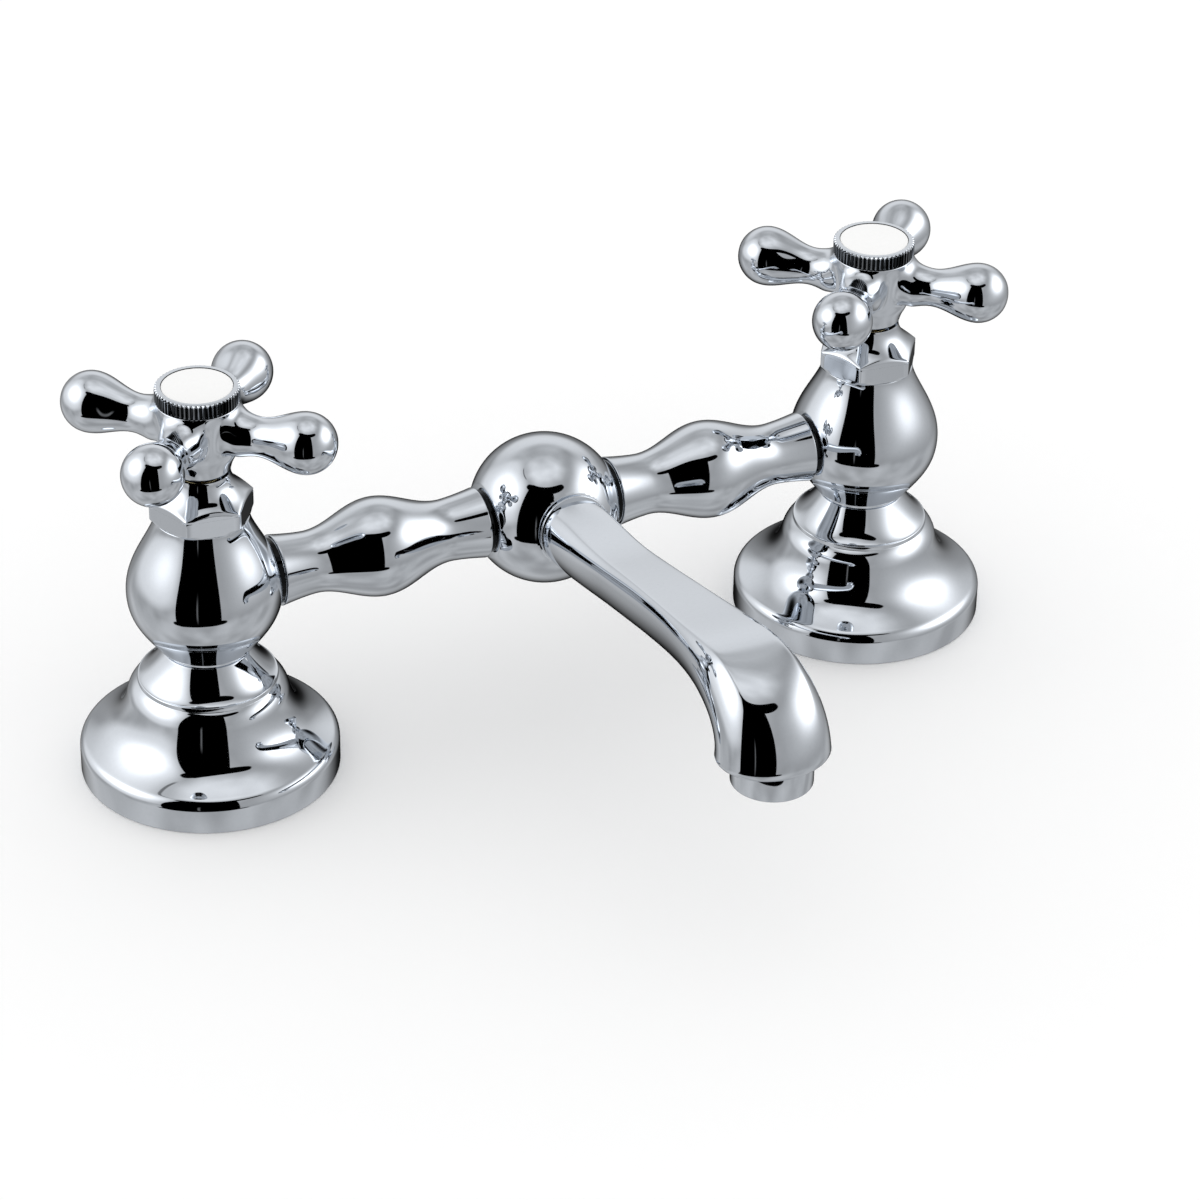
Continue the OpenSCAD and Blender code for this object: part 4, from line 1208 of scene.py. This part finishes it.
class Sums:
    """Writes sums into a node tree."""

    def __init__(self, tree: bpy.types.NodeTree) -> None:
        """Remembers the tree."""
        self.nodes, self.links = tree.nodes, tree.links

    def feed(self, node: bpy.types.Node, terms: tuple[bpy.types.NodeSocket | float, ...]) -> None:
        """Feeds a node's inputs in order.

        Args:
            node: the node.
            terms: a socket or a number for each input.
        """
        for entry, term in zip(node.inputs, terms):
            if isinstance(term, bpy.types.NodeSocket):
                self.links.new(term, entry)
            else:
                entry.default_value = term

    def sum(self, operation: str, *terms: bpy.types.NodeSocket | float) -> bpy.types.NodeSocket:
        """Adds one sum to the tree.

        Args:
            operation: what is done to the terms.
            *terms: sockets or numbers.

        Returns:
            The sum's socket.
        """
        node = self.nodes.new("ShaderNodeMath")
        node.operation = operation
        self.feed(node, terms)
        return node.outputs[0]

    def slope(self, value: bpy.types.NodeSocket, start: float, end: float) -> bpy.types.NodeSocket:
        """Rises gently from 0 to 1 while a value goes from one bound to the other.

        Args:
            value: the value.
            start: where the rise begins.
            end: where it ends.

        Returns:
            The rise's socket.
        """
        node = self.nodes.new("ShaderNodeMapRange")
        node.interpolation_type = "SMOOTHSTEP"
        self.feed(node, (value, start, end))
        return node.outputs["Result"]


@dataclass(frozen=True)
class Patch:
    """A lamp face or a dark card on the studio's shell, in degrees as the object sees it."""

    azimuth: float
    elevation: float
    half_width: float
    half_height: float
    level: float
    edge_level: float
    corner: float = 8.0
    blur: float = 0.03

    def cover(self, sums: Sums, azimuth: bpy.types.NodeSocket, elevation: bpy.types.NodeSocket,
              below: bpy.types.NodeSocket) -> bpy.types.NodeSocket:
        """Lays the patch over the tone that the shell has so far.

        Args:
            sums: writes into the shell's node tree.
            azimuth: the place's azimuth.
            elevation: the place's elevation.
            below: the tone so far.

        Returns:
            The tone with the patch on it.
        """
        turned = sums.sum("WRAP", sums.sum("SUBTRACT", azimuth, self.azimuth), 180.0, -180.0)
        across = sums.sum("DIVIDE", sums.sum("ABSOLUTE", turned), self.half_width)
        raised = sums.sum("ABSOLUTE", sums.sum("SUBTRACT", elevation, self.elevation))
        up = sums.sum("DIVIDE", raised, self.half_height)
        powers = sums.sum("ADD", sums.sum("POWER", across, self.corner), sums.sum("POWER", up, self.corner))
        far = sums.sum("POWER", powers, 1 / self.corner)
        rise = sums.slope(far, 1.0, 0.0)
        tone = sums.sum("MULTIPLY_ADD", rise, self.level - self.edge_level, self.edge_level)
        mask = sums.slope(far, 1.0, 1.0 - self.blur)
        return sums.sum("MULTIPLY_ADD", sums.sum("SUBTRACT", tone, below), mask, below)


@dataclass
class Studio:
    """The floor, the surroundings that the polish shows, and the camera."""

    camera_at: tuple[float, float, float] = (-0.451085, -0.952625, 0.695938)
    camera_azimuth: float = -26.212
    camera_elevation: float = 32.444
    camera_roll: float = 1.055
    lens: float = 132.21
    sensor: float = 36.0
    floor_size: float = 12.0
    floor_drop: float = 0.0002
    middle: tuple[float, float, float] = (0.0, -0.03, 0.06)
    shell_r: float = 0.9
    plain_level: float = 1.03
    patches: tuple[Patch, ...] = (
        Patch(-114, 26, 52, 40, 1.15, 0.78, corner=4, blur=0.3),
        Patch(-106, 30, 50, 36, 2.60, 0.90, corner=2.3, blur=1.0),
        Patch(62, 18, 78, 46, 0.70, 0.36, corner=4, blur=0.3),
        Patch(72, 27, 60, 38, 2.60, 0.70, corner=2.3, blur=1.0),
        Patch(-112, 61.5, 26, 1.0, 0.2, 0.2, blur=0.5),
        Patch(-36, 17, 31, 45, 0.0, 0.0, corner=14, blur=0.015),
        Patch(-24, 56, 54, 6, 0.0, 0.0, corner=3, blur=0.06),
        Patch(-34, -23, 38, 5, 0.0, 0.0, corner=3, blur=0.06),
        Patch(-38, -3, 1.6, 22, 0.14, 0.08, corner=4, blur=0.7),
        Patch(154, -32, 70, 52, 0.0, 0.10, corner=2, blur=0.75),
        Patch(158, 24, 62, 22, 0.86, 0.70, corner=3, blur=0.6),
    )
    noise: tuple[float, float] = (0.78, 1.22)
    tones: tuple[tuple[float, float], ...] = (
        (-90, 0.44), (-45, 0.50), (-30, 0.52), (-20, 0.50), (0, 0.48), (40, 0.46), (62, 0.50), (74, 0.80),
        (90, 0.86))

    def place_camera(self) -> None:
        """Puts the camera where the photograph was taken from."""
        data = bpy.data.cameras.new("camera")
        data.lens = self.lens
        data.sensor_width = self.sensor
        data.clip_start = 0.01
        camera = bpy.data.objects.new("camera", data)
        bpy.context.scene.collection.objects.link(camera)
        back = toward(self.camera_azimuth, self.camera_elevation)
        azimuth, roll = math.radians(self.camera_azimuth), math.radians(self.camera_roll)
        right = Vector((math.cos(azimuth), math.sin(azimuth), 0.0))
        up = back.cross(right)
        turned_right = right * math.cos(roll) + up * math.sin(roll)
        turned_up = up * math.cos(roll) - right * math.sin(roll)
        turn = Matrix((turned_right, turned_up, back)).transposed().to_4x4()
        camera.matrix_world = Matrix.Translation(self.camera_at) @ turn
        bpy.context.scene.camera = camera

    def lay_floor(self) -> None:
        """Makes the plain pale floor."""
        bare()
        bpy.ops.mesh.primitive_plane_add(size=self.floor_size, location=(0, 0, -self.floor_drop))
        floor = bpy.context.object
        floor.name = "floor"
        floor.visible_glossy = False
        material = bpy.data.materials.new("floor")
        material.use_nodes = True
        shader = material.node_tree.nodes["Principled BSDF"]
        shader.inputs["Base Color"].default_value = (1.0, 1.0, 1.0, 1.0)
        shader.inputs["Roughness"].default_value = 1.0
        shader.inputs["Specular IOR Level"].default_value = 0.0
        floor.data.materials.append(material)

    def hang_shell(self) -> None:
        """Makes the shell of lamps and dark cards, which only polished surfaces show."""
        bare()
        bpy.ops.mesh.primitive_uv_sphere_add(
            segments=64, ring_count=32, radius=self.shell_r, location=self.middle)
        shell = bpy.context.object
        shell.name = "studio_shell"
        shell.visible_camera = shell.visible_diffuse = False
        shell.visible_shadow = shell.visible_transmission = False
        material = bpy.data.materials.new(shell.name)
        material.use_nodes = True
        nodes, links = material.node_tree.nodes, material.node_tree.links
        nodes.remove(nodes["Principled BSDF"])
        sums = Sums(material.node_tree)
        place = nodes.new("ShaderNodeTexCoord")
        split = nodes.new("ShaderNodeSeparateXYZ")
        links.new(place.outputs["Object"], split.inputs[0])
        x, y, z = split.outputs
        azimuth = sums.sum("DEGREES", sums.sum("ARCTAN2", x, sums.sum("MULTIPLY", y, -1.0)))
        level = sums.sum("SQRT", sums.sum("ADD", sums.sum("MULTIPLY", x, x), sums.sum("MULTIPLY", y, y)))
        elevation = sums.sum("DEGREES", sums.sum("ARCTAN2", z, level))
        ramp = nodes.new("ShaderNodeValToRGB")
        links.new(sums.sum("MULTIPLY_ADD", elevation, 1 / 180, 0.5), ramp.inputs["Fac"])
        stops = ramp.color_ramp.elements
        for i, (height, tone) in enumerate(self.tones):
            at = height / 180 + 0.5
            stop = stops[i] if i < 2 else stops.new(at)
            stop.position = at
            stop.color = (tone, tone, tone, 1.0)
        clouds = nodes.new("ShaderNodeTexNoise")
        clouds.inputs["Scale"].default_value = 2.2 / self.shell_r
        clouds.inputs["Detail"].default_value = 1.0
        links.new(place.outputs["Object"], clouds.inputs["Vector"])
        spread = nodes.new("ShaderNodeMapRange")
        sums.feed(spread, (clouds.outputs["Fac"], 0.3, 0.7, *self.noise))
        tone = sums.sum("MULTIPLY", ramp.outputs["Color"], spread.outputs["Result"])
        for patch in self.patches:
            tone = patch.cover(sums, azimuth, elevation, tone)
        lamp = nodes.new("ShaderNodeEmission")
        links.new(tone, lamp.inputs["Strength"])
        links.new(lamp.outputs[0], nodes["Material Output"].inputs["Surface"])
        shell.data.materials.append(material)

    def light(self) -> None:
        """Makes the plain light of the world."""
        world = bpy.data.worlds.new("studio")
        bpy.context.scene.world = world
        world.use_nodes = True
        plain = world.node_tree.nodes["Background"]
        plain.inputs["Color"].default_value = (1.0, 1.0, 1.0, 1.0)
        plain.inputs["Strength"].default_value = self.plain_level

    def build(self) -> None:
        """Makes the whole studio."""
        self.place_camera()
        self.lay_floor()
        self.light()
        self.hang_shell()


def main() -> None:
    """Builds the scene and reports each piece."""
    logging.basicConfig(level=logging.INFO, format="%(name)s: %(message)s")
    bpy.context.scene.view_settings.view_transform = "Standard"
    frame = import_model()
    finishes = {finish.slot.value: finish.build() for finish in FINISHES}
    slots = {row["node"]: row["material_slot"] for row in frame["record"]["subparts"]}
    for name, node in frame["nodes"].items():
        node.data.materials.clear()
        node.data.materials.append(finishes[slots[name]])
        log.info("dressed %s in %s", name, slots[name])
    low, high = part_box("hot_flange")
    half_span = (Vector(low) + Vector(high)).x / 2
    for side, outward in ((Side.HOT, -X_AXIS), (Side.COLD, X_AXIS)):
        foot = outward * abs(half_span)
        spin = 180.0 if side is Side.COLD else 0.0
        Flange(finishes, frame).build(side, foot)
        ValveBody(finishes, frame).build(side, foot, -outward)
        CoverNut(finishes, frame).build(side, foot, spin)
        CrossHandle(finishes, frame).build(side, foot)
        IndexCap(finishes, frame).build(side, foot)
    Bridge(finishes, frame).build()
    Spout(finishes, frame).build()
    Studio().build()


if __name__ == "__main__":
    main()
